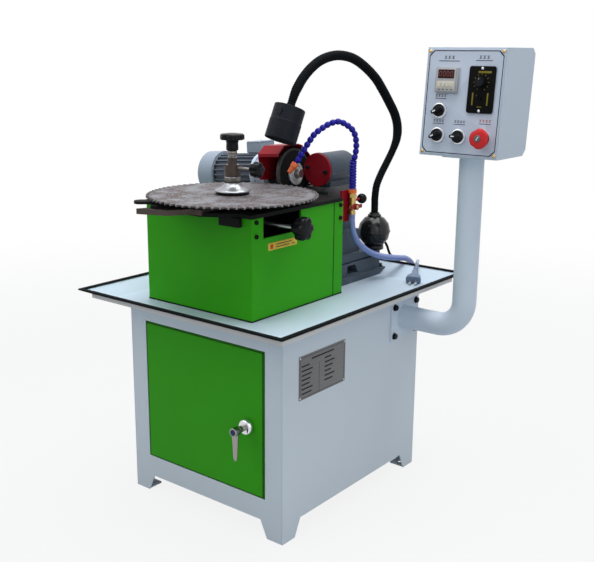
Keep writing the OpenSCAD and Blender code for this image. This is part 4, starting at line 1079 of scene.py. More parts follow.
@dataclass
class Cords(Assembly):
    """The mains lead with its coil and plug, the supply hose and the lamp's cable."""

    lead_diameter: float = 0.007
    hose_diameter: float = 0.014
    cable_diameter: float = 0.006
    steps: int = 6
    coil_middle: Pair = (0.020, 0.320)
    coil_outer: float = 0.046
    coil_turns: int = 5
    coil_pitch: float = 0.008
    coil_low: float = 0.005
    coil_rise: float = 0.008
    tie_size: Pair = (0.0305, 0.0172)
    tie_wide: float = 0.008
    tie_thick: float = 0.0007
    plug_tip: Vec = (0.205, 0.229, 0.445)
    plug_end: Vec = (0.165, 0.315, 0.470)
    plug_length: float = 0.038
    pin_length: float = 0.019
    pin_out: float = 0.0065
    relief_ribs: int = 9
    lead_low: tuple[Vec, ...] = (
        (-0.150, 0.270, 0.070), (-0.150, 0.284, 0.070), (-0.149, 0.303, 0.064), (-0.145, 0.318, 0.048),
        (-0.137, 0.326, 0.028), (-0.124, 0.325, 0.011), (-0.106, 0.314, 0.005), (-0.088, 0.300, 0.005),
        (-0.068, 0.287, 0.005), (-0.046, 0.277, 0.005), (-0.028, 0.274, 0.005), (-0.012, 0.274, 0.005),
        (0.003, 0.274, 0.005),
    )
    lead_high: tuple[Vec, ...] = (
        (0.037, 0.274, 0.013), (0.045, 0.274, 0.013), (0.053, 0.274, 0.013), (0.074, 0.278, 0.009),
        (0.096, 0.287, 0.005), (0.114, 0.301, 0.004), (0.125, 0.319, 0.006), (0.131, 0.335, 0.018),
        (0.134, 0.346, 0.040), (0.136, 0.352, 0.072), (0.136, 0.354, 0.120), (0.136, 0.354, 0.180),
        (0.136, 0.354, 0.250), (0.136, 0.354, 0.320), (0.136, 0.354, 0.390), (0.136, 0.354, 0.420),
        (0.138, 0.354, 0.444), (0.144, 0.349, 0.463), (0.152, 0.340, 0.4725), (0.158, 0.330, 0.474),
        (0.161, 0.323, 0.4725), (0.163, 0.319, 0.4712), (0.165, 0.315, 0.470),
    )
    supply: tuple[Vec, ...] = (
        (0.096, 0.139, 0.606), (0.096, 0.139, 0.598), (0.096, 0.139, 0.590), (0.097, 0.143, 0.566),
        (0.101, 0.156, 0.542), (0.106, 0.178, 0.522), (0.111, 0.207, 0.506), (0.115, 0.240, 0.495),
        (0.118, 0.275, 0.487), (0.120, 0.310, 0.480), (0.120, 0.335, 0.475), (0.120, 0.362, 0.460),
        (0.120, 0.382, 0.432), (0.120, 0.384, 0.400), (0.120, 0.368, 0.372), (0.120, 0.338, 0.358),
        (0.120, 0.305, 0.355), (0.120, 0.284, 0.355), (0.120, 0.270, 0.355), (0.120, 0.256, 0.355),
    )
    cable: tuple[Vec, ...] = (
        (0.075, 0.299, 0.517), (0.075, 0.303, 0.517), (0.075, 0.307, 0.517), (0.077, 0.318, 0.503),
        (0.081, 0.325, 0.483), (0.086, 0.335, 0.473), (0.091, 0.350, 0.463), (0.093, 0.358, 0.440),
        (0.090, 0.352, 0.412), (0.084, 0.336, 0.392), (0.076, 0.310, 0.383), (0.070, 0.288, 0.380),
        (0.070, 0.272, 0.380), (0.070, 0.256, 0.380),
    )

    def build(self) -> None:
        """Lay each cord, and make the plug and the coil's tie."""
        low, high = (smooth(np.array(route), self.steps) for route in (self.lead_low, self.lead_high))
        whole = np.concatenate([low, self.coil(), high])
        lead = self.curve("mains_lead.sheath", whole, self.lead_diameter)
        self.dress(lead, CORD, "cabinet", ("mains_lead", "mains_coil"))
        pieces = [*self.plug(), self.tie()]
        for name, route, diameter, finish, node in (
            ("supply_hose.tube", self.supply, self.hose_diameter, HOSE, "supply_hose"),
            ("lamp_cable.sheath", self.cable, self.cable_diameter, RUBBER, "lamp_cable"),
        ):
            line = smooth(np.array(route), self.steps)
            made = self.curve(name, line, diameter)
            self.dress(made, finish, "cabinet", (node,))

    def coil(self) -> np.ndarray:
        """The coil's line: it winds in, climbs in the half turn where it reverses, and winds out again."""
        t = np.linspace(0.0, self.coil_turns, self.coil_turns * 36 + 1)
        radius = self.coil_outer - self.coil_pitch * np.minimum(t, self.coil_turns - t)
        climb = np.clip((t - self.coil_turns / 2) * 2 + 0.5, 0.0, 1.0)
        x = self.coil_middle[0] + radius * np.sin(TAU * t)
        y = self.coil_middle[1] - radius * np.cos(TAU * t)
        return np.stack([x, y, self.coil_low + self.coil_rise * climb], axis=1)

    def curve(self, name: str, points: np.ndarray, diameter: float) -> bpy.types.Object:
        """A round cord on one open spline.

        Args:
            name: The piece's name.
            points: The line that it follows.
            diameter: Its thickness.

        Returns:
            The curve's object.
        """
        data = bpy.data.curves.new(name, "CURVE")
        data.dimensions = "3D"
        data.bevel_depth = diameter / 2
        data.bevel_resolution = 4
        data.use_fill_caps = True
        spline = data.splines.new("POLY")
        spline.points.add(len(points) - 1)
        spline.points.foreach_set("co", np.concatenate([points, np.ones((len(points), 1))], axis=1).ravel())
        spline.use_smooth = True
        made = bpy.data.objects.new(name, data)
        bpy.context.collection.objects.link(made)
        return made

    def plug(self) -> list[bpy.types.Object]:
        """The plug: a body that narrows to a ribbed relief, a collar and two flat pins."""
        axis = np.array(self.plug_end) - np.array(self.plug_tip)
        seat = Seat.facing(self.plug_tip, tuple(axis))
        neck = self.pin_length + self.plug_length - 0.002
        share = np.linspace(0.0, 1.0, 25)
        width = 0.014 + 0.019 * (0.5 + 0.5 * np.tanh((0.46 - share) / 0.09))
        depth = 0.018 - 0.004 * share**2
        outlines = rectangle(1.0, 1.0, 0.32)[None] * np.stack([width, depth], axis=1)[:, None]
        body = stacked(outlines, self.pin_length + self.plug_length * share, seat)
        collar = tile(0.0345, 0.0186, 0.006, 0.004, 0.0012, seat.moved(z=self.pin_length - 0.0005))
        s = np.linspace(0.0, 1.0, 8 * self.relief_ribs + 1)
        rib = 0.0009 * (0.5 - 0.5 * np.cos(TAU * self.relief_ribs * s)) * (1 - s)
        reach = neck + (float(np.linalg.norm(axis)) - neck) * s
        relief = turned(np.stack([0.0064 - 0.0019 * s - rib, reach], axis=1), seat, 32)
        pins = joined([
            tile(0.006, 0.0016, 0.0006, self.pin_length + 0.001, 0.0004, seat.moved(x=x))
            for x in (-self.pin_out, self.pin_out)
        ])
        return [
            self.add("mains_plug.body", joined([body, collar, relief]), PLUG, "cabinet", "mains_plug"),
            self.add("mains_plug.pins", pins, STEEL, "cabinet"),
        ]

    def tie(self) -> bpy.types.Object:
        """The tie round the coil's strands on its right: a flat band on a rounded rectangle."""
        x = self.coil_middle[0] + self.coil_outer - self.coil_pitch
        centre = (x, self.coil_middle[1] - self.tie_wide / 2, self.coil_low + self.coil_rise / 2)
        inner = [size - 2 * self.tie_thick for size in self.tie_size]
        outlines = (rectangle(*self.tie_size, 0.005), rectangle(*inner, 0.005 - self.tie_thick))
        band = hoop(*outlines, self.tie_wide, Seat.facing(centre, (0.0, 1.0, 0.0)))
        return self.add("mains_coil.tie", band, RUBBER, "cabinet")


# Stand


@dataclass
class CabinetStand(Assembly):
    """The cabinet with its door and handle, the tray, and the tank behind the door."""

    plate_y: Pair = (-0.199, -0.044)
    plate_z: Pair = (0.292, 0.383)
    plate_thick: float = 0.0008
    plate_margin: float = 0.004
    plate_rows: int = 7
    row_pitch: float = 0.0095
    mark_tall: float = 0.0032
    rule_wide: float = 0.0008
    boss_radius: float = 0.017
    lever_proud: float = 0.038
    lever_length: float = 0.062
    lever_head: float = 0.0092
    lever_flat: float = 0.7
    lip_tall: float = 0.0095
    lip_thick: float = 0.0015
    # Widths of the dark strips round the door, which are painted shadow.
    shadow_right: float = 0.0040
    shadow_top: float = 0.0026
    shadow_rest: float = 0.0012

    def build(self) -> None:
        """Dress the sheet metal, and make the handle, the name plate, the tray's lip and the gap and painted
        shadow round the door.
        """
        self.soften_each(
            ("cabinet_shell", CABINET, 0.0009), ("cabinet_shelf", CABINET, 0.0006),
            ("cabinet_door", GREEN, 0.0024), ("door_hinges", STEEL, 0.0006), ("tray", WHITE, 0.0012),
            ("tray_edging", RUBBER, 0.0012), ("coolant_unit", GREY, 0.0012), ("cable_glands", BLACK, 0.0006),
        )
        self.handle()
        self.name_plate()
        self.lip()
        self.door_shadow()

    def door_shadow(self) -> None:
        """The gap round the door and the frame's painted shadow on it: four flat dark-green strips round its
        face, widest on the side of the handle.
        """
        low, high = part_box("cabinet_door")
        x, _, z = middle("cabinet_door")
        wide, tall = high[0] - low[0] - 0.001, high[2] - low[2] - 0.001
        right, top, rest = self.shadow_right, self.shadow_top, self.shadow_rest
        strips = tiles(Seat.facing((x, low[1] + SINK, z), FRONT), (
            ((wide - right) / 2, 0.0, right, tall), ((rest - wide) / 2, 0.0, rest, tall),
            (0.0, (tall - top) / 2, wide, top), (0.0, (rest - tall) / 2, wide, rest),
        ), 0.0003)
        self.add("cabinet_door.shadow", strips, SHADOW_GREEN, "door")

    def lip(self) -> None:
        """The tray's lip: an upright strip that hangs below the edging on each side, in a lighter, warmer
        copy of the white paint that is painted light.
        """
        low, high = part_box("tray_edging")
        bottom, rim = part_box("tray")
        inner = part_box("cabinet_shell")[1]
        fall = (rim[2] - low[2]) / (rim[2] - bottom[2])
        x, y = (high[k] - fall * (rim[k] - inner[k]) - 0.0018 for k in (0, 1))
        z = low[2] - self.lip_tall / 2 + 0.001
        strips = []
        for long, a, b in ((2 * x, 0, -1), (2 * y, -1, 0), (2 * y, 1, 0), (2 * x, 0, 1)):
            seat = Seat.facing((a * x, b * y, z), (a, b, 0.0))
            strips.append(tile(long, self.lip_tall, 0.0004, self.lip_thick, 0.0003, seat))
        self.add("tray.lip", joined(strips), LIT_LIP, "cabinet")

    def handle(self) -> None:
        """The handle: a domed chrome boss, a round head with a lock, a tapered arm and a cam inside."""
        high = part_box("handle_lever")[1]
        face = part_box("cabinet_door")[0][1]
        x, z = middle("handle_lever")[0], high[2] - self.boss_radius
        seat = Seat.facing((x, face - 0.0003, z), FRONT)
        boss, proud, head = self.boss_radius, self.lever_proud, self.lever_head
        dome = lathe(((0.0, 0.0), (boss, 0.0), (boss, 0.006), (boss * 0.85, 0.0125), (0.0, 0.0135)), 0.003,
                     seat)
        self.add("handle_lever.boss", dome, CHROME, "door_handle")
        neck = lathe(
            ((0.0, 0.010), (0.0068, 0.010), (0.0068, proud - 0.010), (head, proud - 0.007),
             (head, proud + 0.0068), (0.0, proud + 0.0068)), 0.0009, seat)
        route = np.linspace((x, face - proud, z), (x, face - proud, z - self.lever_length), 18)
        radii = np.linspace(head * 0.9, head * 0.5, 18)
        radii[-3:] = radii[-4] * np.array([0.96, 0.8, 0.35])
        arm = swept(route, radii, 32, RIGHT)
        arm.points[:, 1] = face - proud + self.lever_flat * (arm.points[:, 1] - face + proud)
        cam = tile(0.016, 0.062, 0.004, 0.004, 0.0006, Seat.facing((x, high[1], z - 0.031), FRONT))
        spindle = turned(np.array([(0.0078, face - high[1]), (0.0078, 0.002)]), seat, 32)
        chrome = joined([neck, arm, cam, spindle])
        self.add("handle_lever.chrome", chrome, HANDLE, "door_handle", "handle_lever")
        key = lathe(((0.0, 0.0), (0.0064, 0.0), (0.0064, 0.0010), (0.0, 0.0010)), 0.0004,
                    seat.moved(z=proud + 0.0065), 24)
        self.add("handle_lever.lock", key, LOCK_BLUE, "door_handle")

    def name_plate(self) -> None:
        """The ruled plate on the right side, with plain marks in place of text and a rivet in each corner."""
        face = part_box("cabinet_shell")[1][0]
        wide, tall = self.plate_y[1] - self.plate_y[0], self.plate_z[1] - self.plate_z[0]
        seat = Seat.facing((face, sum(self.plate_y) / 2, sum(self.plate_z) / 2), RIGHT)
        self.add("name_plate", tile(wide, tall, 0.002, self.plate_thick, 0.0002, seat), NAME_PLATE, "cabinet")
        top = seat.moved(z=self.plate_thick - SINK)
        x, y = wide / 2 - self.plate_margin, tall / 2 - self.plate_margin
        rule, mark = self.rule_wide, self.mark_tall
        lines = tiles(top, (
            (0.0, y, 2 * x, rule), (0.0, -y, 2 * x, rule), (x, 0.0, rule, 2 * y), (-x, 0.0, rule, 2 * y),
            (-0.012, -0.011, rule, tall - 0.030),
        ), 0.0004)
        self.add("name_plate.lines", lines, MATT_BLACK, "cabinet")
        row = np.arange(self.plate_rows)
        high = tall / 2 - 0.022 - self.row_pitch * row
        left = 0.026 + 0.010 * (row * 3 % 4) / 3
        right = 0.022 + 0.012 * (row[:-1] * 5 % 3) / 2
        marks = [(0.0, tall / 2 - 0.012, 0.075, mark)]
        marks += [(0.008 + (w - wide) / 2, up, w, mark) for w, up in zip(left, high)]
        marks += [(0.006 + w / 2, up, w, mark) for w, up in zip(right, high)]
        self.add("name_plate.marks", tiles(top, marks, 0.0006, PRINT_THICK), MATT_BLACK, "cabinet")
        rivet = rounded(((0.0022, 0.0), (0.0022, 0.0004), (0.0012, 0.0011), (0.0, 0.0013)), 0.0005)
        rivets = heads(rivet, [seat.moved(a * x, b * y, self.plate_thick) for a, b in CORNERS], 16)
        self.add("name_plate.rivets", rivets, STEEL, "cabinet")


# Blade table


@dataclass
class BladeTable(Assembly):
    """The green housing, its table and carriage, and the clamped blade."""

    label_y: Pair = (-0.179, -0.088)
    label_z: Pair = (0.577, 0.592)
    tooth_count: int = 72
    thread_pitch: float = 0.0022
    rod_pitch: float = 0.00125
    screw_radius: float = 0.0045
    # Height of the dark strip at the housing's foot, which is painted shadow.
    shadow_tall: float = 0.0028
    seam_wide: float = 0.0020
    bolt_y: Pair = (0.138, 0.226)
    bolt_z: Pair = (0.345, 0.411)

    def build(self) -> None:
        """Dress the housing and the blade, and make the knobs, the cone and the screws."""
        x, y, _ = middle("saw_blade")
        self.axis = LEVEL.moved(x, y, 0.0)
        self.shadow_and_seam()
        blade = BladeSteel("blade_steel", "blade_steel", (0.207, 0.21, 0.23), (x, y, 0.0))
        self.soften_each(
            ("housing", DARK_INSIDE_GREEN, 0.0010), ("side_cover", GREEN, 0.0006),
            ("table_plate", BLACKENED, 0.0006), ("carriage_plate", RUST, 0.0008),
            ("blade_post", STEEL, 0.0004), ("post_collar", RUST, 0.0008), ("blade_seat", STEEL, 0.0006),
            ("saw_blade", blade, 0.0), ("pawl_arm", BLACKENED, 0.0008),
        )
        self.teeth()
        self.cone()
        self.thread()
        self.clamp_knob()
        self.side_knobs()
        self.screws()
        self.label()

    def shadow_and_seam(self) -> None:
        """A dark strip of painted shadow at the foot of the housing, along its front and right side, and the
        seam behind the cover.
        """
        low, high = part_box("housing")
        x, y, _ = middle("housing")
        z = low[2] + self.shadow_tall / 2 + 0.0003
        # The black strips at the foot of the housing are painted shadow.
        strips = [
            tile(long, self.shadow_tall, 0.0003, 0.0005, MARK_EDGE, seat)
            for long, seat in (
                (high[0] - low[0] + 0.0008, Seat.facing((x, low[1], z), FRONT)),
                (high[1] - low[1], Seat.facing((high[0], y, z), RIGHT)),
            )
        ]
        self.add("housing.painted_shadow", joined(strips), RUBBER, "cabinet")
        low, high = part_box("side_cover")
        seat = Seat.facing((high[0], high[1], middle("side_cover")[2]), RIGHT)
        seam = tile(self.seam_wide, high[2] - low[2] - 0.001, 0.0003, 0.0004, MARK_EDGE, seat)
        self.add("side_cover.seam", seam, RUBBER, "cabinet")

    def cone(self) -> None:
        """The polished cone on the blade, in a black foot ring, with a knurled neck."""
        seat = self.axis.moved(z=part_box("cone_flange")[0][2])
        shape = rounded(
            ((0.0128, 0.0050), (0.0340, 0.0050), (0.0365, 0.0058), (0.0365, 0.0082), (0.0325, 0.0104),
             (0.0265, 0.0130), (0.0212, 0.0160), (0.0174, 0.0196), (0.0156, 0.0222), (0.0156, 0.0358),
             (0.0128, 0.0358)), 0.0018, 6)
        self.add("cone_flange.cone", turned(shape, seat, 96, True), CONE, "blade", "cone_flange")
        self.add("cone_flange.foot", ring(0.0128, 0.0338, 0.0002, 0.0056, 0.0008, seat), BLACK, "blade")
        neck = knurled(seat, 0.0161, 0.0004, 45, 180,
                       ((0.97, 0.0226), (1.0, 0.0234), (1.0, 0.0336), (0.97, 0.0343)))
        self.add("cone_flange.knurl", neck, KNURL, "blade")

    def thread(self) -> None:
        """The post's thread above its collar."""
        low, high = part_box("post_collar")[1][2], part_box("blade_post")[1][2]
        height = np.arange(low, high, self.thread_pitch / 6)
        thread = threaded(self.axis, 0.0097, 0.0006, self.thread_pitch, height, 48)
        self.add("blade_post.thread", thread, RUST, "carriage")

    def teeth(self) -> None:
        """The carbide tips: one small block, turned to each tooth, a little thicker than the blade."""
        low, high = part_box("saw_blade")
        tip = np.array([[-0.0026, -0.0045], [0.0001, -0.0045], [0.0001, -0.0002], [-0.0026, -0.0006]])
        proud = 0.0003
        block = slab(tip, high[2] - low[2] + 2 * proud, 0.0001, LEVEL)
        out = circle(1.0, self.tooth_count)
        along = np.stack([-out[:, 1], out[:, 0]], axis=1)
        reach = block.points[None, :, 1:2] + (high[0] - low[0]) / 2
        flat = block.points[None, :, :1] * along[:, None] + reach * out[:, None]
        level = np.broadcast_to(block.points[None, :, 2:] + low[2] - proud, (*flat.shape[:2], 1))
        points = self.axis.put(np.concatenate([flat, level], axis=-1)).reshape(-1, 3)
        count = len(block.points)
        faces = [[i + k * count for i in face] for k in range(self.tooth_count) for face in block.faces]
        self.add("saw_blade.tips", Surface(points, faces), CARBIDE, "blade")

    def clamp_knob(self) -> None:
        """The knob over the blade: a star grip on a waisted stem, on a turned metal ring."""
        seat = self.axis.moved(z=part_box("blade_post")[1][2] + 0.0003)
        stem = rounded(
            ((0.0, 0.0125), (0.0122, 0.0125), (0.0126, 0.0180), (0.0118, 0.0290), (0.0150, 0.0365),
             (0.0, 0.0365)), 0.004, 6)
        under = lathe(((0.0, 0.0330), (0.0140, 0.0330), (0.0215, 0.0365), (0.0, 0.0366)), 0.003, seat)
        grip = star(seat.moved(z=0.0345), 0.0248, 0.0118, 7, 0.09)
        self.add("clamp_knob.grip", joined([turned(stem, seat), under, grip]), BLACK, "clamp", "clamp_knob")
        cap = lathe(((0.0070, 0.0464), (0.0070, 0.0472), (0.0, 0.0475)), 0.0004, seat, 32)
        self.add("clamp_knob.cap", cap, MATT_BLACK, "clamp")
        nut = lathe(((0.0, 0.0), (0.0078, 0.0), (0.0086, 0.0015), (0.0086, 0.0060), (0.0096, 0.0072),
                     (0.0096, 0.0112), (0.0086, 0.0124), (0.0, 0.0124)), 0.0008, seat)
        self.add("clamp_knob.nut", nut, WORN_STEEL, "clamp")

    def side_knobs(self) -> None:
        """The collar's knob and the lock knob: star grips on threaded rods along X."""
        for node, body, y, radius, tall, lobes, rod, neck, metal in (
            ("collar_knob", "collar_clamp", self.axis.origin[1], 0.016, 0.016, 5, 0.0030, 0.009, WORN_STEEL),
            ("lock_knob", "lock", middle("lock_knob")[1], 0.024, 0.020, 6, 0.0040, 0.014, STEEL),
        ):
            low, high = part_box(node)
            z = middle(node)[2]
            seat = Seat.facing((high[0] - tall, y, z), RIGHT)
            hub = lathe(((0.0, -neck), (radius * 0.5, -neck), (radius * 0.46, -0.002), (radius * 0.62, 0.003),
                         (0.0, 0.003)), 0.002, seat)
            self.add(f"{node}.grip", star(seat, radius, tall, lobes) + hub, BLACK, body, node)
            height = np.arange(0.0, high[0] - tall - low[0] - 0.006, self.rod_pitch / 5)
            thread = threaded(Seat.facing((low[0], y, z), RIGHT), rod, -0.0003, self.rod_pitch, height, 24)
            self.add(f"{node}.rod", thread, metal, body)
            cap = lathe(((0.0, tall * 0.99), (radius * 0.3, tall * 0.99), (radius * 0.26, tall * 1.06),
                         (0.0, tall * 1.07)), 0.0006, seat, 32)
            self.add(f"{node}.cap", cap, MATT_BLACK, body)

    def screws(self) -> None:
        """Socket screws on the housing's right side and hexagon bolts on the pipe's flange."""
        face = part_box("side_cover")[1][0]
        low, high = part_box("housing")
        socket = rounded(
            ((0.0, 0.0), (self.screw_radius, 0.0), (self.screw_radius, 0.0034), (0.0036, 0.0042),
             (0.0022, 0.0042), (0.0021, 0.0018), (0.0, 0.0018)), 0.0005)
        places = [(face, y, high[2] - z) for y in (low[1] + 0.013, high[1] - 0.011) for z in (0.008, 0.036)]
        parts = [heads(socket, [Seat.facing(place, RIGHT) for place in places], 24)]
        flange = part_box("cover_screws")[1][0] - 0.007
        washer = ((0.0, 0.0), (0.0078, 0.0), (0.0078, 0.0014), (0.0, 0.0014))
        for y, z in ((y, z) for y in self.bolt_y for z in self.bolt_z):
            seat = Seat.facing((flange, y, z), RIGHT)
            parts.append(lathe(washer, 0.0004, seat, 32))
            parts.append(slab(circle(0.0064, 6), 0.0052, 0.0006, seat.moved(z=0.0013)))
        self.add("cover_screws.heads", joined(parts), BLACK, "cabinet", "cover_screws")

    def label(self) -> None:
        """The yellow label under the notch, with a plain red square and dark bars in place of text."""
        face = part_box("side_cover")[1][0]
        wide, tall = self.label_y[1] - self.label_y[0], self.label_z[1] - self.label_z[0]
        seat = Seat.facing((face, sum(self.label_y) / 2, sum(self.label_z) / 2), RIGHT)
        self.add("side_label", tile(wide, tall, 0.001, MARK_THICK, MARK_EDGE, seat), YELLOW, "cabinet")
        top = seat.moved(z=MARK_THICK - SINK)
        square = tile(0.009, 0.009, 0.0008, PRINT_THICK, MARK_EDGE, top.moved(x=-wide * 0.38))
        self.add("side_label.square", square, MARK_RED, "cabinet")
        bars = tiles(top, (
            (0.004, 0.0028, 0.050, 0.0016), (0.000, -0.0026, 0.042, 0.0016), (0.034, -0.0026, 0.010, 0.0016),
        ), 0.0003, PRINT_THICK)
        self.add("side_label.bars", bars, MATT_BLACK, "cabinet")


# Grinding head


@dataclass
class GrindingHead(Assembly):
    """The casting, the sliding saddle, the motor with its guard and wheel, and the gear motor."""

    wheel_middle: Vec = (-0.022, 0.076, 0.6932)
    tilt: float = 4.5
    wheel_radius: float = 0.057
    wheel_thick: float = 0.008
    disc_radius: float = 0.051
    flange_radius: float = 0.0250
    bore: float = 0.0072
    lid_at: Vec = (-0.116, 0.028, 0.0698)
    lid_thick: float = 0.0030
    lid_screws: Pair = (0.017, 0.022)
    plate_angles: Pair = (-8.0, 172.0)
    foot_at: Vec = (0.070, 0.2975, 0.014)

    def build(self) -> None:
        """Dress the castings and make the wheel, the bolts and the box's lid."""
        angle = math.radians(self.tilt)
        self.axis = Seat.facing(self.wheel_middle, (math.cos(angle), 0.0, math.sin(angle)))
        self.soften_each(
            ("base_casting", SLATE, 0.0020), ("saddle_plate", DARK_STEEL, 0.0010),
            ("motor_body", FIN_GREY, 0.0005), ("motor_cowl", ALLOY, 0.0010), ("motor_flange", WHITE, 0.0012),
            ("terminal_box", ALLOY, 0.0022), ("wheel_guard", RED, 0.0008), ("gear_motor", GEAR_SLATE, 0.0010),
            ("gear_motor_plate", RED, 0.0010), ("motor_shaft", STEEL, 0.0005),
        )
        self.wheel()
        self.bolts()
        self.box_lid()

    def wheel(self) -> None:
        """The wheel: a dished body with a rim of grit, a hub and a nut, turned about the tilted axis."""
        half, disc, flange, bore = self.wheel_thick / 2, self.disc_radius, self.flange_radius, self.bore
        body = lathe(
            ((0.0092, -half), (disc, -half), (disc, half), (0.0300, half), (0.0275, half - 0.0006),
             (0.0092, half - 0.0006)), 0.0008, self.axis, 96, True)
        self.add("grinding_wheel.body", body, BLACKENED, "wheel", "grinding_wheel")
        hub = lathe(
            ((bore, half), (flange, half), (flange, half + 0.0046), (0.0215, half + 0.0050),
             (0.0170, half + 0.0022), (0.0132, half + 0.0022), (0.0125, half + 0.0050),
             (bore, half + 0.0050)), 0.0008, self.axis, 96, True)
        back = ring(bore, flange, -half - 0.006, -half, 0.0008, self.axis)
        self.add("wheel_flange.hub", hub + back, HUB, "wheel", "wheel_flange")
        nut = slab(circle(0.0110, 6), 0.0090, 0.0010, self.axis.moved(z=half + 0.0048))
        self.add("wheel_flange.nut", nut, WORN_STEEL, "wheel")
        rim = ring(disc - 0.0002, self.wheel_radius, -half, half, 0.0012, self.axis)
        self.add("grinding_wheel.rim", rim, GRIT, "wheel")

    def bolts(self) -> None:
        """Cap screws on the red plate and bolts on the casting's foot."""
        cap = rounded(
            ((0.0, 0.0), (0.0048, 0.0), (0.0048, 0.0042), (0.0040, 0.0050), (0.0024, 0.0050),
             (0.0022, 0.0024), (0.0, 0.0024)), 0.0006)
        low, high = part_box("gear_motor_plate")
        x, _, z = middle("gear_motor_plate")
        seat = Seat.facing((x, low[1], z), FRONT)
        reach = (high[0] - low[0]) / 2 - 0.012
        angles = [math.radians(a) for a in self.plate_angles]
        seats = [seat.moved(reach * math.cos(a), reach * math.sin(a)) for a in angles]
        self.add("gear_motor_plate.screws", heads(cap, seats, 24), BLACK, "head")
        x, y, rise = self.foot_at
        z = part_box("base_casting")[0][2] + rise
        bolt = rounded(((0.0, 0.0), (0.0085, 0.0), (0.0085, 0.0016), (0.0062, 0.0018), (0.0062, 0.0070),
                        (0.0052, 0.0078), (0.0, 0.0078)), 0.0006)
        feet = heads(bolt, [LEVEL.moved(-x, y, z), LEVEL.moved(x, y, z)], 32)
        self.add("base_casting.bolts", feet, BLACK, "cabinet")

    def box_lid(self) -> None:
        """The terminal box's lid with four screws, tilted with the motor."""
        seat = Seat(self.wheel_middle, self.axis.out, self.axis.across, self.axis.up).moved(*self.lid_at)
        self.add("terminal_box.lid", tile(0.0424, 0.0524, 0.004, self.lid_thick, 0.0012, seat), ALLOY, "head")
        screw = rounded(((0.0026, 0.0), (0.0026, 0.0008), (0.0010, 0.0016), (0.0, 0.0016)), 0.0005)
        x, y = self.lid_screws
        screws = heads(screw, [seat.moved(a * x, b * y, self.lid_thick) for a, b in CORNERS], 16)
        self.add("terminal_box.screws", screws, STEEL, "head")


# Coolant


@dataclass
class CoolantLine(Assembly):
    """The valve on its red bracket and the beaded hose with its nozzle."""

    bead_radius: float = 0.0065
    beads: int = 24
    thick_beads: int = 5
    nozzle_tip: Vec = (0.015, 0.013, 0.704)
    socket: float = 0.004
    nut_radius: float = 0.0094
    stem_up: float = 0.018
    knob_at: Vec = (0.0845, 0.193, 0.634)
    knob_radius: float = 0.0115
    route: tuple[Vec, ...] = (
        (0.096, 0.139, 0.664), (0.096, 0.139, 0.680), (0.096, 0.139, 0.700), (0.096, 0.139, 0.720),
        (0.098, 0.143, 0.738), (0.099, 0.145, 0.756), (0.098, 0.143, 0.776), (0.094, 0.137, 0.792),
        (0.086, 0.124, 0.804), (0.076, 0.109, 0.811), (0.065, 0.092, 0.807), (0.055, 0.076, 0.797),
        (0.046, 0.062, 0.785), (0.040, 0.052, 0.770), (0.034, 0.043, 0.754), (0.028, 0.034, 0.737),
        (0.024, 0.028, 0.726),
    )

    def build(self) -> None:
        """Dress the bracket and the handle, and make the valve, the hose and the nozzle."""
        self.soften_each(("valve_bracket", RED, 0.0010), ("valve_handle", RED, 0.0006))
        self.valve()
        self.hose()
        self.nozzle()

    def aim(self) -> tuple[Seat, float]:
        """The seat in the nozzle's socket, facing along the nozzle, and the length from there to its tip."""
        end = np.array(self.route[-1])
        along = np.array(self.nozzle_tip) - end
        length = float(np.linalg.norm(along))
        return Seat.facing(tuple(end + self.socket * along / length), tuple(along)), length - self.socket

    def hose(self) -> None:
        """The hose: each bead is a ball that narrows to a waist, and the lowest ones are thick and ribbed."""
        path, _ = evenly(smooth(np.array(self.route), 12), self.beads * 16 + 1)
        s = np.linspace(0.0, self.beads, len(path))
        bead = 0.64 + 0.42 * np.abs(np.sin(np.pi * s)) ** 0.7
        ribbed = 1.16 + 0.13 * np.cos(2 * TAU * s)
        radii = self.bead_radius * np.where(s < self.thick_beads, ribbed, bead)
        radii[-1] = self.bead_radius * 0.7
        made = swept(path, radii, 32, (0.83, -0.55, 0.0)) + ball(0.005, self.aim()[0])
        self.add("coolant_hose.beads", made, BLUE, "cabinet", "coolant_hose")
        fitting = slab(circle(0.0096, 8), 0.0085, 0.0012, LEVEL.moved(*self.route[0]).moved(z=-0.010))
        self.add("coolant_hose.fitting", fitting, ORANGE, "cabinet")

    def nozzle(self) -> None:
        """The orange nozzle: a flared skirt, a waist and a tip with a bore."""
        seat, length = self.aim()
        shell = lathe(
            ((0.0053, -0.0010), (0.0080, -0.0010), (0.0080, 0.0085), (0.0064, 0.0100), (0.0048, length),
             (0.0030, length), (0.0030, 0.0085), (0.0053, 0.0055)), 0.0008, seat, 48, True)
        self.add("nozzle.shell", shell, ORANGE, "nozzle_tip", "nozzle")

    def valve(self) -> None:
        """The brass valve: two hexagon nuts on a turned body, a hose tail and a stem."""
        low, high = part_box("valve_body")
        x, y, _ = self.route[0]
        seat, tall = LEVEL.moved(x, y, low[2]), high[2] - low[2]
        body = lathe(
            ((0.0, 0.0), (0.0078, 0.0), (0.0078, 0.0060), (0.0066, 0.0065), (0.0066, 0.0100),
             (0.0078, 0.0105), (0.0078, 0.0125), (0.0079, 0.0130), (0.0079, tall), (0.0, tall)), 0.0006, seat)
        nuts = [
            slab(circle(self.nut_radius, 6), thick, 0.0008, seat.spun(30).moved(z=z))
            for z, thick in ((0.0130, 0.0070), (tall - 0.0100, 0.0080))
        ]
        stem = lathe(((0.0, 0.0), (0.0039, 0.0), (0.0039, 0.0150), (0.0, 0.0155)), 0.0006,
                     Seat.facing((x, y, low[2] + self.stem_up), RIGHT), 24)
        self.add("valve_body.brass", joined([body, *nuts, stem]), BRASS, "cabinet", "valve_body")
        knob = ball(self.knob_radius, LEVEL.moved(*self.knob_at), 19)
        self.add("valve_bracket.knob", knob, BLACK, "cabinet")


# Lamp


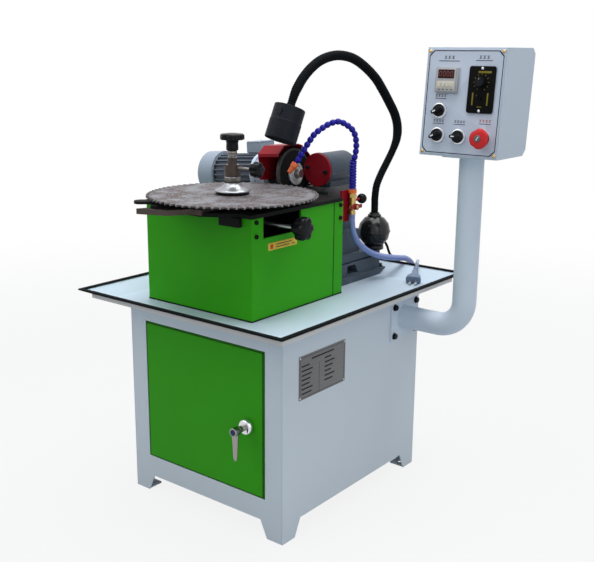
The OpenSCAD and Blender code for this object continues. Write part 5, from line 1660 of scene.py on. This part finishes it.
@dataclass
class WorkLamp(Assembly):
    """The faceted base, the gooseneck with its sleeve and the lamp's head."""

    base: Vec = (0.075, 0.262, 0.548)
    base_radius: float = 0.039
    facets: int = 12
    facet_turn: float = 0.25
    outlet_z: float = 0.517
    neck_radius: float = 0.00875
    sleeve: float = 0.002
    rib: float = 0.0042
    head_radius: float = 0.0345
    head_length: float = 0.074
    head_gap: float = 0.004
    head_ribs: int = 9
    head_low: Vec = (0.010, -0.013, 0.770)
    route: tuple[Vec, ...] = (
        (0.075, 0.262, 0.592), (0.075, 0.262, 0.602), (0.075, 0.262, 0.612), (0.075, 0.262, 0.628),
        (0.076, 0.266, 0.655), (0.079, 0.279, 0.681), (0.083, 0.297, 0.708), (0.087, 0.314, 0.735),
        (0.090, 0.325, 0.762), (0.090, 0.326, 0.790), (0.088, 0.316, 0.818), (0.083, 0.298, 0.846),
        (0.078, 0.277, 0.874), (0.073, 0.253, 0.901), (0.065, 0.221, 0.926), (0.058, 0.188, 0.943),
        (0.050, 0.156, 0.950), (0.043, 0.126, 0.949), (0.036, 0.095, 0.940), (0.030, 0.069, 0.924),
        (0.025, 0.049, 0.905), (0.022, 0.036, 0.888), (0.020, 0.026, 0.872), (0.017, 0.016, 0.847),
    )

    def build(self) -> None:
        """Make the base, the neck and the head, and dress the switch."""
        self.lamp_base()
        self.neck()
        self.head()
        self.soften("lamp_switch", BLACK, 0.0005)

    def lamp_base(self) -> None:
        """The base: a ball of flat facets with a raised line round its middle, on a foot, under a collar."""
        seat = LEVEL.moved(*self.base)
        turn = np.radians([-76.0, -52.0, -26.0, 0.0, 26.0, 52.0, 76.0])
        radius = np.repeat(self.base_radius * np.cos(turn)[:, None], self.facets, axis=1)
        globe = radial(radius, self.base_radius * np.sin(turn), seat, start=self.facet_turn)
        line = ring(0.0340, 0.0388, -0.0012, 0.0012, 0.0006, seat)
        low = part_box("lamp_base")[0][2] - self.base[2]
        foot = lathe(((0.0, low), (0.0234, low), (0.0234, -0.034), (0.020, -0.032), (0.0, -0.032)), 0.001,
                     seat)
        collar = lathe(((0.0, 0.036), (0.0165, 0.036), (0.0150, 0.0395), (0.0120, 0.0400), (0.0120, 0.0440),
                        (0.0, 0.0440)), 0.0008, seat)
        outlet = Seat.facing((self.base[0], self.base[1] + 0.020, self.outlet_z), (0.0, 1.0, 0.0))
        boot = lathe(((0.0, 0.0), (0.0052, 0.0), (0.0048, 0.0168), (0.0, 0.0170)), 0.0006, outlet, 24)
        whole = joined([globe, line, foot, collar, boot])
        self.add("lamp_base.ball", whole, BALL_BLACK, "cabinet", "lamp_base")

    def neck(self) -> None:
        """The neck: a round section whose radius ripples once a rib and grows where the sleeve covers it."""
        line = smooth(np.array(self.route), 8)
        ribs = int(evenly(line, 2)[1] / self.rib)
        path, length = evenly(line, ribs * 6 + 1)
        s = np.linspace(0.0, ribs, len(path))
        along = np.concatenate([[0.0], np.cumsum(np.linalg.norm(np.diff(line, axis=0), axis=1))])
        covered = np.interp(np.linspace(0.0, length, len(path)), along[[56, 68, -13, -1]], [0, 1, 1, 0])
        ripple = 0.05 - 0.025 * covered
        radii = (self.neck_radius + self.sleeve * covered) * (1 - ripple + ripple * np.cos(TAU * s))
        tube = swept(path, radii, 24, (0.86, -0.5, 0.0)) + ball(0.0094, LEVEL.moved(*self.route[-1]))
        self.add("gooseneck.ribbed", tube, RUBBER, "cabinet", "gooseneck")

    def head(self) -> None:
        """The head: a shell of revolution with a stepped, ribbed lower half and a sunk lens."""
        end = np.array(self.route[-1])
        seat = Seat.facing(tuple(end), tuple(np.array(self.head_low) - end))
        r, top, low = self.head_radius, self.head_gap, self.head_gap + self.head_length
        shell = lathe((
            (0.0097, 0.002), (r * 0.5, 0.002), (r * 0.5, top), (r * 0.965, top + 0.0002),
            (r * 0.985, top + 0.0014), (r * 0.985, 0.036), (r, 0.0365), (r, low), (r - 0.0022, low),
            (r - 0.0024, low - 0.018), (0.010, low - 0.022), (0.0097, 0.010),
        ), 0.0012, seat, 96, True)
        self.add("lamp_head.shell", shell, MATT_BLACK, "lamp", "lamp_head")
        heights = np.linspace(0.0385, low - 0.004, self.head_ribs)
        ribs = joined([ring(r - 0.0004, r + 0.0005, z, z + 0.0016, 0.0003, seat) for z in heights])
        self.add("lamp_head.ribs", ribs, MATT_BLACK, "lamp")
        glass = lathe(((0.0, low - 0.0125), (r - 0.0026, low - 0.0125), (r - 0.0026, low - 0.0105),
                       (0.012, low - 0.0080), (0.0, low - 0.0075)), 0.001, seat, 64)
        self.add("lamp_head.lens", glass, LENS, "lamp")


# Control stand


class Stroke(Enum):
    """The seven strokes of a digit: middle across and up, width and height, in units of the digit's width."""

    TOP = (0.0, 1.0, 0.8, 0.16)
    MIDDLE = (0.0, 0.0, 0.8, 0.16)
    LOW = (0.0, -1.0, 0.8, 0.16)
    LEFT_HIGH = (-0.5, 0.5, 0.16, 0.8)
    RIGHT_HIGH = (0.5, 0.5, 0.16, 0.8)
    LEFT_LOW = (-0.5, -0.5, 0.16, 0.8)
    RIGHT_LOW = (0.5, -0.5, 0.16, 0.8)


NOUGHT = tuple(stroke for stroke in Stroke if stroke is not Stroke.MIDDLE)


@dataclass
class ControlStand(Assembly):
    """The bent pipe and the control box with its counter, governor, selectors and stop button."""

    panel_middle: Vec = (0.367, 0.120, 0.862)
    tilt: float = 5.4
    panel_thick: float = 0.002
    box_wide: float = 0.175
    box_tall: float = 0.214
    line_inset: float = 0.00625
    line_cut: float = 0.010
    line_wide: float = 0.0015
    screw_inset: float = 0.0080
    counter_at: Pair = (-0.03605, 0.0428)
    counter_face: float = 0.0079
    digit_size: float = 0.0046
    digit_x: tuple[float, ...] = (-0.0124, -0.0041, 0.0041, 0.0124)
    key_x: tuple[float, ...] = (-0.0135, -0.0045, 0.0045, 0.0135)
    governor_at: Pair = (0.040075, 0.0260)
    governor_thick: float = 0.0040
    dial_at: Pair = (0.040075, 0.0400)
    tick_count: int = 11
    tick_step: float = 30.0
    stop_at: Pair = (0.054075, -0.067838)
    bezel_radius: float = 0.0168

    def build(self) -> None:
        """Dress the pipe and the box, and make everything on the panel."""
        angle = math.radians(self.tilt)
        up = (0.0, math.sin(angle), math.cos(angle))
        out = (0.0, -math.cos(angle), math.sin(angle))
        self.face = Seat(self.panel_middle, RIGHT, up, out).moved(z=self.panel_thick)
        self.soften_each(
            ("stand_pipe", PIPE_WHITE, 0.0008), ("box_shell", BOX, 0.0016),
            ("front_panel", PANEL_WHITE, 0.0005), ("governor_toggle", BLACK, 0.0),
        )
        self.border()
        self.titles()
        self.counter()
        self.governor()
        self.selector("selector_top", "selector_a", (-0.04795, -0.016906), 118.0)
        self.selector("selector_left", "selector_b", (-0.04795, -0.065484), 118.0)
        self.selector("selector_right", "selector_c", (-0.000875, -0.066554), 90.0)
        self.stop()

    def on(self, at: Pair, z: float = 0.0) -> Seat:
        """A seat on the panel's face."""
        return self.face.moved(at[0], at[1], z)

    def cut_rectangle(self, inset: float) -> np.ndarray:
        """The outline of the panel's line: a rectangle with straight cut corners, anticlockwise."""
        x, y, c = self.box_wide / 2 - inset, self.box_tall / 2 - inset, self.line_cut
        right = np.array([(x, c - y), (x, y - c), (x - c, y), (c - x, y)])
        return np.concatenate([right, -right])

    def border(self) -> None:
        """A dark line round the panel with cut corners, and a brass screw in each corner."""
        outer, inner = (self.cut_rectangle(self.line_inset + wide) for wide in (0.0, self.line_wide))
        self.add("front_panel.line", hoop(outer, inner, MARK_THICK, self.face), MATT_BLACK, "cabinet")
        screw = rounded(((0.0034, 0.0), (0.0034, 0.0008), (0.0022, 0.0019), (0.0, 0.0021)), 0.0006)
        x, y = self.box_wide / 2 - self.screw_inset, self.box_tall / 2 - self.screw_inset
        screws = heads(screw, [self.on((a * x, b * y)) for a, b in CORNERS], 24)
        self.add("front_panel.screws", screws, BRASS, "cabinet")

    def titles(self) -> None:
        """The rules on the panel and the rows of plain marks above them, the stop button's in red."""
        rules = tiles(self.face, (
            (-0.036, 0.0800, 0.046, 0.0014), (0.040, 0.0815, 0.036, 0.0014),
            (-0.048, 0.0066, 0.026, 0.0012), (-0.048, -0.0425, 0.026, 0.0012),
            (-0.001, -0.0425, 0.026, 0.0012), (0.054, -0.0390, 0.026, 0.0012),
        ), 0.0004, PRINT_THICK)
        self.add("front_panel.rules", rules, INK, "cabinet")
        titles = joined([self.title(*row) for row in (
            (-0.036, 0.0870, 3, 0.0062), (0.040, 0.0880, 3, 0.0062), (-0.048, 0.0122, 4, 0.0048),
            (-0.048, -0.0370, 4, 0.0048), (-0.001, -0.0370, 4, 0.0048),
        )])
        self.add("front_panel.titles", titles, INK, "cabinet")
        self.add("front_panel.warning", self.title(0.054, -0.0330, 4, 0.0050), MARK_RED, "cabinet")

    def title(self, x: float, y: float, count: int, size: float) -> Surface:
        """A row of plain marks in place of printed words: each is three bars across and one upright.

        Args:
            x: The middle of the row.
            y: The height of the row's middle.
            count: The number of marks.
            size: The size of a mark.

        Returns:
            The marks as one surface.
        """
        bars = ((0.0, 0.38, 0.90, 0.16), (0.0, 0.0, 0.62, 0.16), (0.0, -0.38, 0.90, 0.16),
                (0.0, 0.0, 0.16, 0.80))
        pitch = 1.35 * size
        return tiles(self.face, [
            (x + (k - (count - 1) / 2) * pitch + dx * size, y + dy * size, w * size, h * size)
            for k in range(count) for dx, dy, w, h in bars
        ], 0.0002, PRINT_THICK)

    def counter(self) -> None:
        """The counter: a grey case with a smoked window of four digits over a row of keys."""
        seat = self.on(self.counter_at)
        top = seat.moved(z=self.counter_face)
        case = tile(0.050, 0.050, 0.002, 0.0060, 0.0010, seat)
        bezel = tile(0.044, 0.045, 0.0015, 0.0020, 0.0008, seat.moved(z=0.0060))
        self.add("counter.case", case + bezel, GREY, "cabinet", "counter")
        window = top.moved(y=0.0115)
        pane = tile(0.036, 0.017, 0.001, 0.0008, 0.0003, window.moved(z=-SINK))
        self.add("counter.window", pane, SMOKED, "cabinet")
        size = self.digit_size
        strokes = [(x + s.value[0] * size, s.value[1] * size * 0.95, s.value[2] * size, s.value[3] * size)
                   for x in self.digit_x for s in NOUGHT]
        self.add("counter.digits", tiles(window.moved(z=0.0006), strokes, 0.0002), DIGITS, "cabinet")
        tray = tile(0.040, 0.0150, 0.001, 0.0006, 0.0002, top.moved(y=-0.0095))
        keys = tiles(top, [(x, -0.0095, 0.0072, 0.0085) for x in self.key_x], 0.001, 0.0018, 0.0006)
        self.add("counter.keys", tray + keys, CREAM, "cabinet")
        marks = tiles(top, [(x, -0.0190, 0.0040, 0.0016) for x in self.key_x], 0.0003, PRINT_THICK)
        self.add("counter.marks", marks, MATT_BLACK, "cabinet")

    def governor(self) -> None:
        """The governor: a knurled knob in a ring of yellow ticks, two yellow rules and the plate's screws."""
        seat = self.on(self.dial_at, self.governor_thick)
        grip = knurled(seat, 0.0098, 0.0002, 24, 120,
                       ((1.03, 0.0003), (1.03, 0.0012), (0.96, 0.0110), (0.90, 0.0121), (0.0, 0.0123)))
        self.add("governor_knob.grip", grip, BLACK, "governor", "governor_knob")
        mark = tile(0.0009, 0.0040, 0.0004, MARK_THICK, MARK_EDGE, seat.moved(y=0.0062, z=0.0121))
        self.add("governor_knob.mark", mark, GREY, "governor")
        face = tile(0.056, 0.090, 0.005, self.governor_thick, 0.0008, self.on(self.governor_at))
        self.add("governor_plate.face", face, PLATE_BLACK, "cabinet", "governor_plate")
        turns = self.tick_step * (np.arange(self.tick_count) - (self.tick_count - 1) / 2)
        marks = [tiles(seat.spun(turn), ((0.0, 0.0155, 0.0010, 0.0032),), 0.0003) for turn in turns]
        top = self.on(self.governor_at, self.governor_thick)
        marks.append(tiles(top, (
            (-0.016, -0.018, 0.003, 0.024), (0.016, -0.018, 0.003, 0.024), (0.006, 0.0335, 0.028, 0.004),
            (0.0, -0.033, 0.010, 0.0015),
        ), 0.0003))
        self.add("governor_plate.marks", joined(marks), MARK_YELLOW, "cabinet")
        screw = rounded(((0.0030, 0.0), (0.0030, 0.0008), (0.0015, 0.0017), (0.0, 0.0018)), 0.0005)
        screws = heads(screw, [top.moved(y=y) for y in (-0.0405, 0.0405)], 20)
        self.add("governor_plate.screws", screws, STEEL, "cabinet")

    def bezel(self, node: str, seat: Seat, bore: float, corners: tuple[Pair, ...]) -> None:
        """A chrome ring on the panel under a switch.

        Args:
            node: The switch's node.
            seat: Its place on the panel.
            bore: The ring's inner radius.
            corners: The upper corners of its section, from the outside in.
        """
        section = ((bore, 0.0), (self.bezel_radius, 0.0), *corners, (bore, corners[-1][1]))
        self.add(f"{node}.bezel", lathe(section, 0.0008, seat, 64, True), CHROME, "cabinet")

    def selector(self, node: str, body: str, at: Pair, turn: float) -> None:
        """A selector switch: a chrome bezel, a round base and a waisted grip with a white mark.

        Args:
            node: The node that it replaces.
            body: Its body.
            at: Its place on the panel.
            turn: The angle of its grip.
        """
        seat = self.on(at)
        self.bezel(node, seat, 0.0128, ((0.0166, 0.0016), (0.0144, 0.0034)))
        base = lathe(((0.0, 0.0033), (0.0123, 0.0033), (0.0123, 0.0070), (0.0114, 0.0082), (0.0, 0.0082)),
                     0.0008, seat)
        long, slim = 0.0120, 0.0042
        cos, sin = circle(1.0, 72).T
        outline = np.stack([slim * np.sign(cos) * np.abs(cos) ** 0.7 * (1 + 0.2 * sin**2),
                            long * np.sign(sin) * np.abs(sin) ** 0.8], axis=1)
        spun = seat.spun(turn)
        grip = slab(outline, 0.0100, 0.0014, spun.moved(z=0.0078))
        self.add(f"{node}.grip", base + grip, BLACK, body, node)
        mark = tile(0.0026, 0.0072, 0.0006, MARK_THICK, MARK_EDGE, spun.moved(y=0.0042, z=0.0177))
        self.add(f"{node}.mark", mark, MARK_WHITE, body)

    def stop(self) -> None:
        """The stop button: a red mushroom with finger scallops and a key lock, on a chrome bezel."""
        seat = self.on(self.stop_at)
        self.bezel("stop_button", seat, 0.0062, ((0.0166, 0.0018), (0.0136, 0.0032)))
        angle = np.arange(144) * TAU / 144
        dip = np.clip(np.cos(3 * angle) * 2.2 - 1.2, 0.0, 1.0)
        radius, height = rounded(
            ((0.0057, -0.0030), (0.0057, 0.0088), (0.0138, 0.0088), (0.0144, 0.0130), (0.0172, 0.0150),
             (0.0200, 0.0170), (0.0200, 0.0205), (0.0182, 0.0240), (0.0120, 0.0252), (0.0, 0.0254)),
            0.002, 5).T
        edge = np.clip((radius - 0.0150) / 0.005, 0.0, 1.0)
        cap = radial(radius[:, None] * (1 - 0.09 * edge[:, None] * dip[None]), height, seat)
        self.add("stop_button.cap", cap, STOP_RED, "stop", "stop_button")
        lock = lathe(((0.0068, 0.0248), (0.0068, 0.0264), (0.0058, 0.0272), (0.0, 0.0272)), 0.0006, seat, 40)
        self.add("stop_button.lock", lock, DARK_STEEL, "stop")
        slot = tile(0.0016, 0.0080, 0.0006, MARK_THICK, MARK_EDGE, seat.spun(-30).moved(z=0.0272))
        self.add("stop_button.slot", slot, MARK_WHITE, "stop")


# Studio


@dataclass
class Studio:
    """The floor, the soft lamps, the white surroundings and the camera."""

    camera_place: Vec = (1.23897, -1.513565, 0.95513)
    azimuth: float = 38.15
    pitch: float = 14.11
    roll: float = 0.45
    focal_pixels: float = 907.669
    image_width: int = 594
    sensor: float = 36.0
    surround: float = 0.38
    surround_colour: Vec = (0.90, 0.95, 1.0)
    floor_colour: Vec = (0.46, 0.48, 0.50)

    def build(self) -> None:
        """Set the stage."""
        scene = bpy.context.scene
        scene.view_settings.view_transform = "Standard"
        self.camera(scene)
        self.world(scene)
        self.floor()
        self.lamp("key", (-1.6, -2.2, 2.6), (0.0, 0.0, 0.5), 2.4, 28.0)
        self.lamp("fill", (2.6, -0.9, 1.7), (0.1, 0.0, 0.5), 2.2, 16.0)
        self.lamp("top", (0.2, 0.3, 3.0), (0.0, 0.0, 0.5), 2.4, 80.0)

    def camera(self, scene: bpy.types.Scene) -> None:
        """The camera: turned by azimuth, tipped down by pitch and rolled about its own axis."""
        data = bpy.data.cameras.new("camera")
        data.sensor_width = self.sensor
        data.lens = self.focal_pixels / self.image_width * self.sensor
        data.dof.use_dof = False
        made = bpy.data.objects.new("camera", data)
        scene.collection.objects.link(made)
        turn = Matrix.Rotation(math.radians(self.azimuth), 4, "Z")
        tip = Matrix.Rotation(math.radians(90 - self.pitch), 4, "X")
        lean = Matrix.Rotation(math.radians(self.roll), 4, "Z")
        made.matrix_world = Matrix.Translation(self.camera_place) @ turn @ tip @ lean
        scene.camera = made

    def world(self, scene: bpy.types.Scene) -> None:
        """White where the camera, gloss or glass looks, and a soft sky light elsewhere."""
        shader = Backdrop("studio")
        shader.finish(Color=self.surround_colour, Strength=self.surround)
        shader.cover(shader.looked_at())
        scene.world = shader.world

    def floor(self) -> None:
        """A wide pale disc under the machine."""
        made = bare_object("floor", slab(circle(6.0, 96), 0.01, 0.001, LEVEL.moved(z=-0.0102)))
        finish = PaleFloor("floor_paint", "grey_plastic", self.floor_colour)
        made.data.materials.append(finish.material())

    def lamp(self, name: str, place: Vec, target: Vec, size: float, power: float) -> None:
        """A square soft lamp aimed at a point.

        Args:
            name: The lamp's name.
            place: Where it hangs.
            target: Where it points.
            size: Its side.
            power: Its power in watts.
        """
        data = bpy.data.lights.new(name, "AREA")
        data.size = size
        data.energy = power
        made = bpy.data.objects.new(name, data)
        bpy.context.collection.objects.link(made)
        seat = Seat.facing(place, tuple(np.array(place) - np.array(target)))
        turn = Matrix(np.array([seat.across, seat.up, seat.out]).T.tolist()).to_4x4()
        made.matrix_world = Matrix.Translation(place) @ turn


def main() -> None:
    """Build the studio, the cords and then every sub-assembly."""
    logging.basicConfig(level=logging.INFO, format="%(message)s")
    Studio().build()
    for assembly in (
        Cords(), CabinetStand(), BladeTable(), GrindingHead(), CoolantLine(), WorkLamp(), ControlStand()
    ):
        assembly.build()


if __name__ == "__main__":
    main()
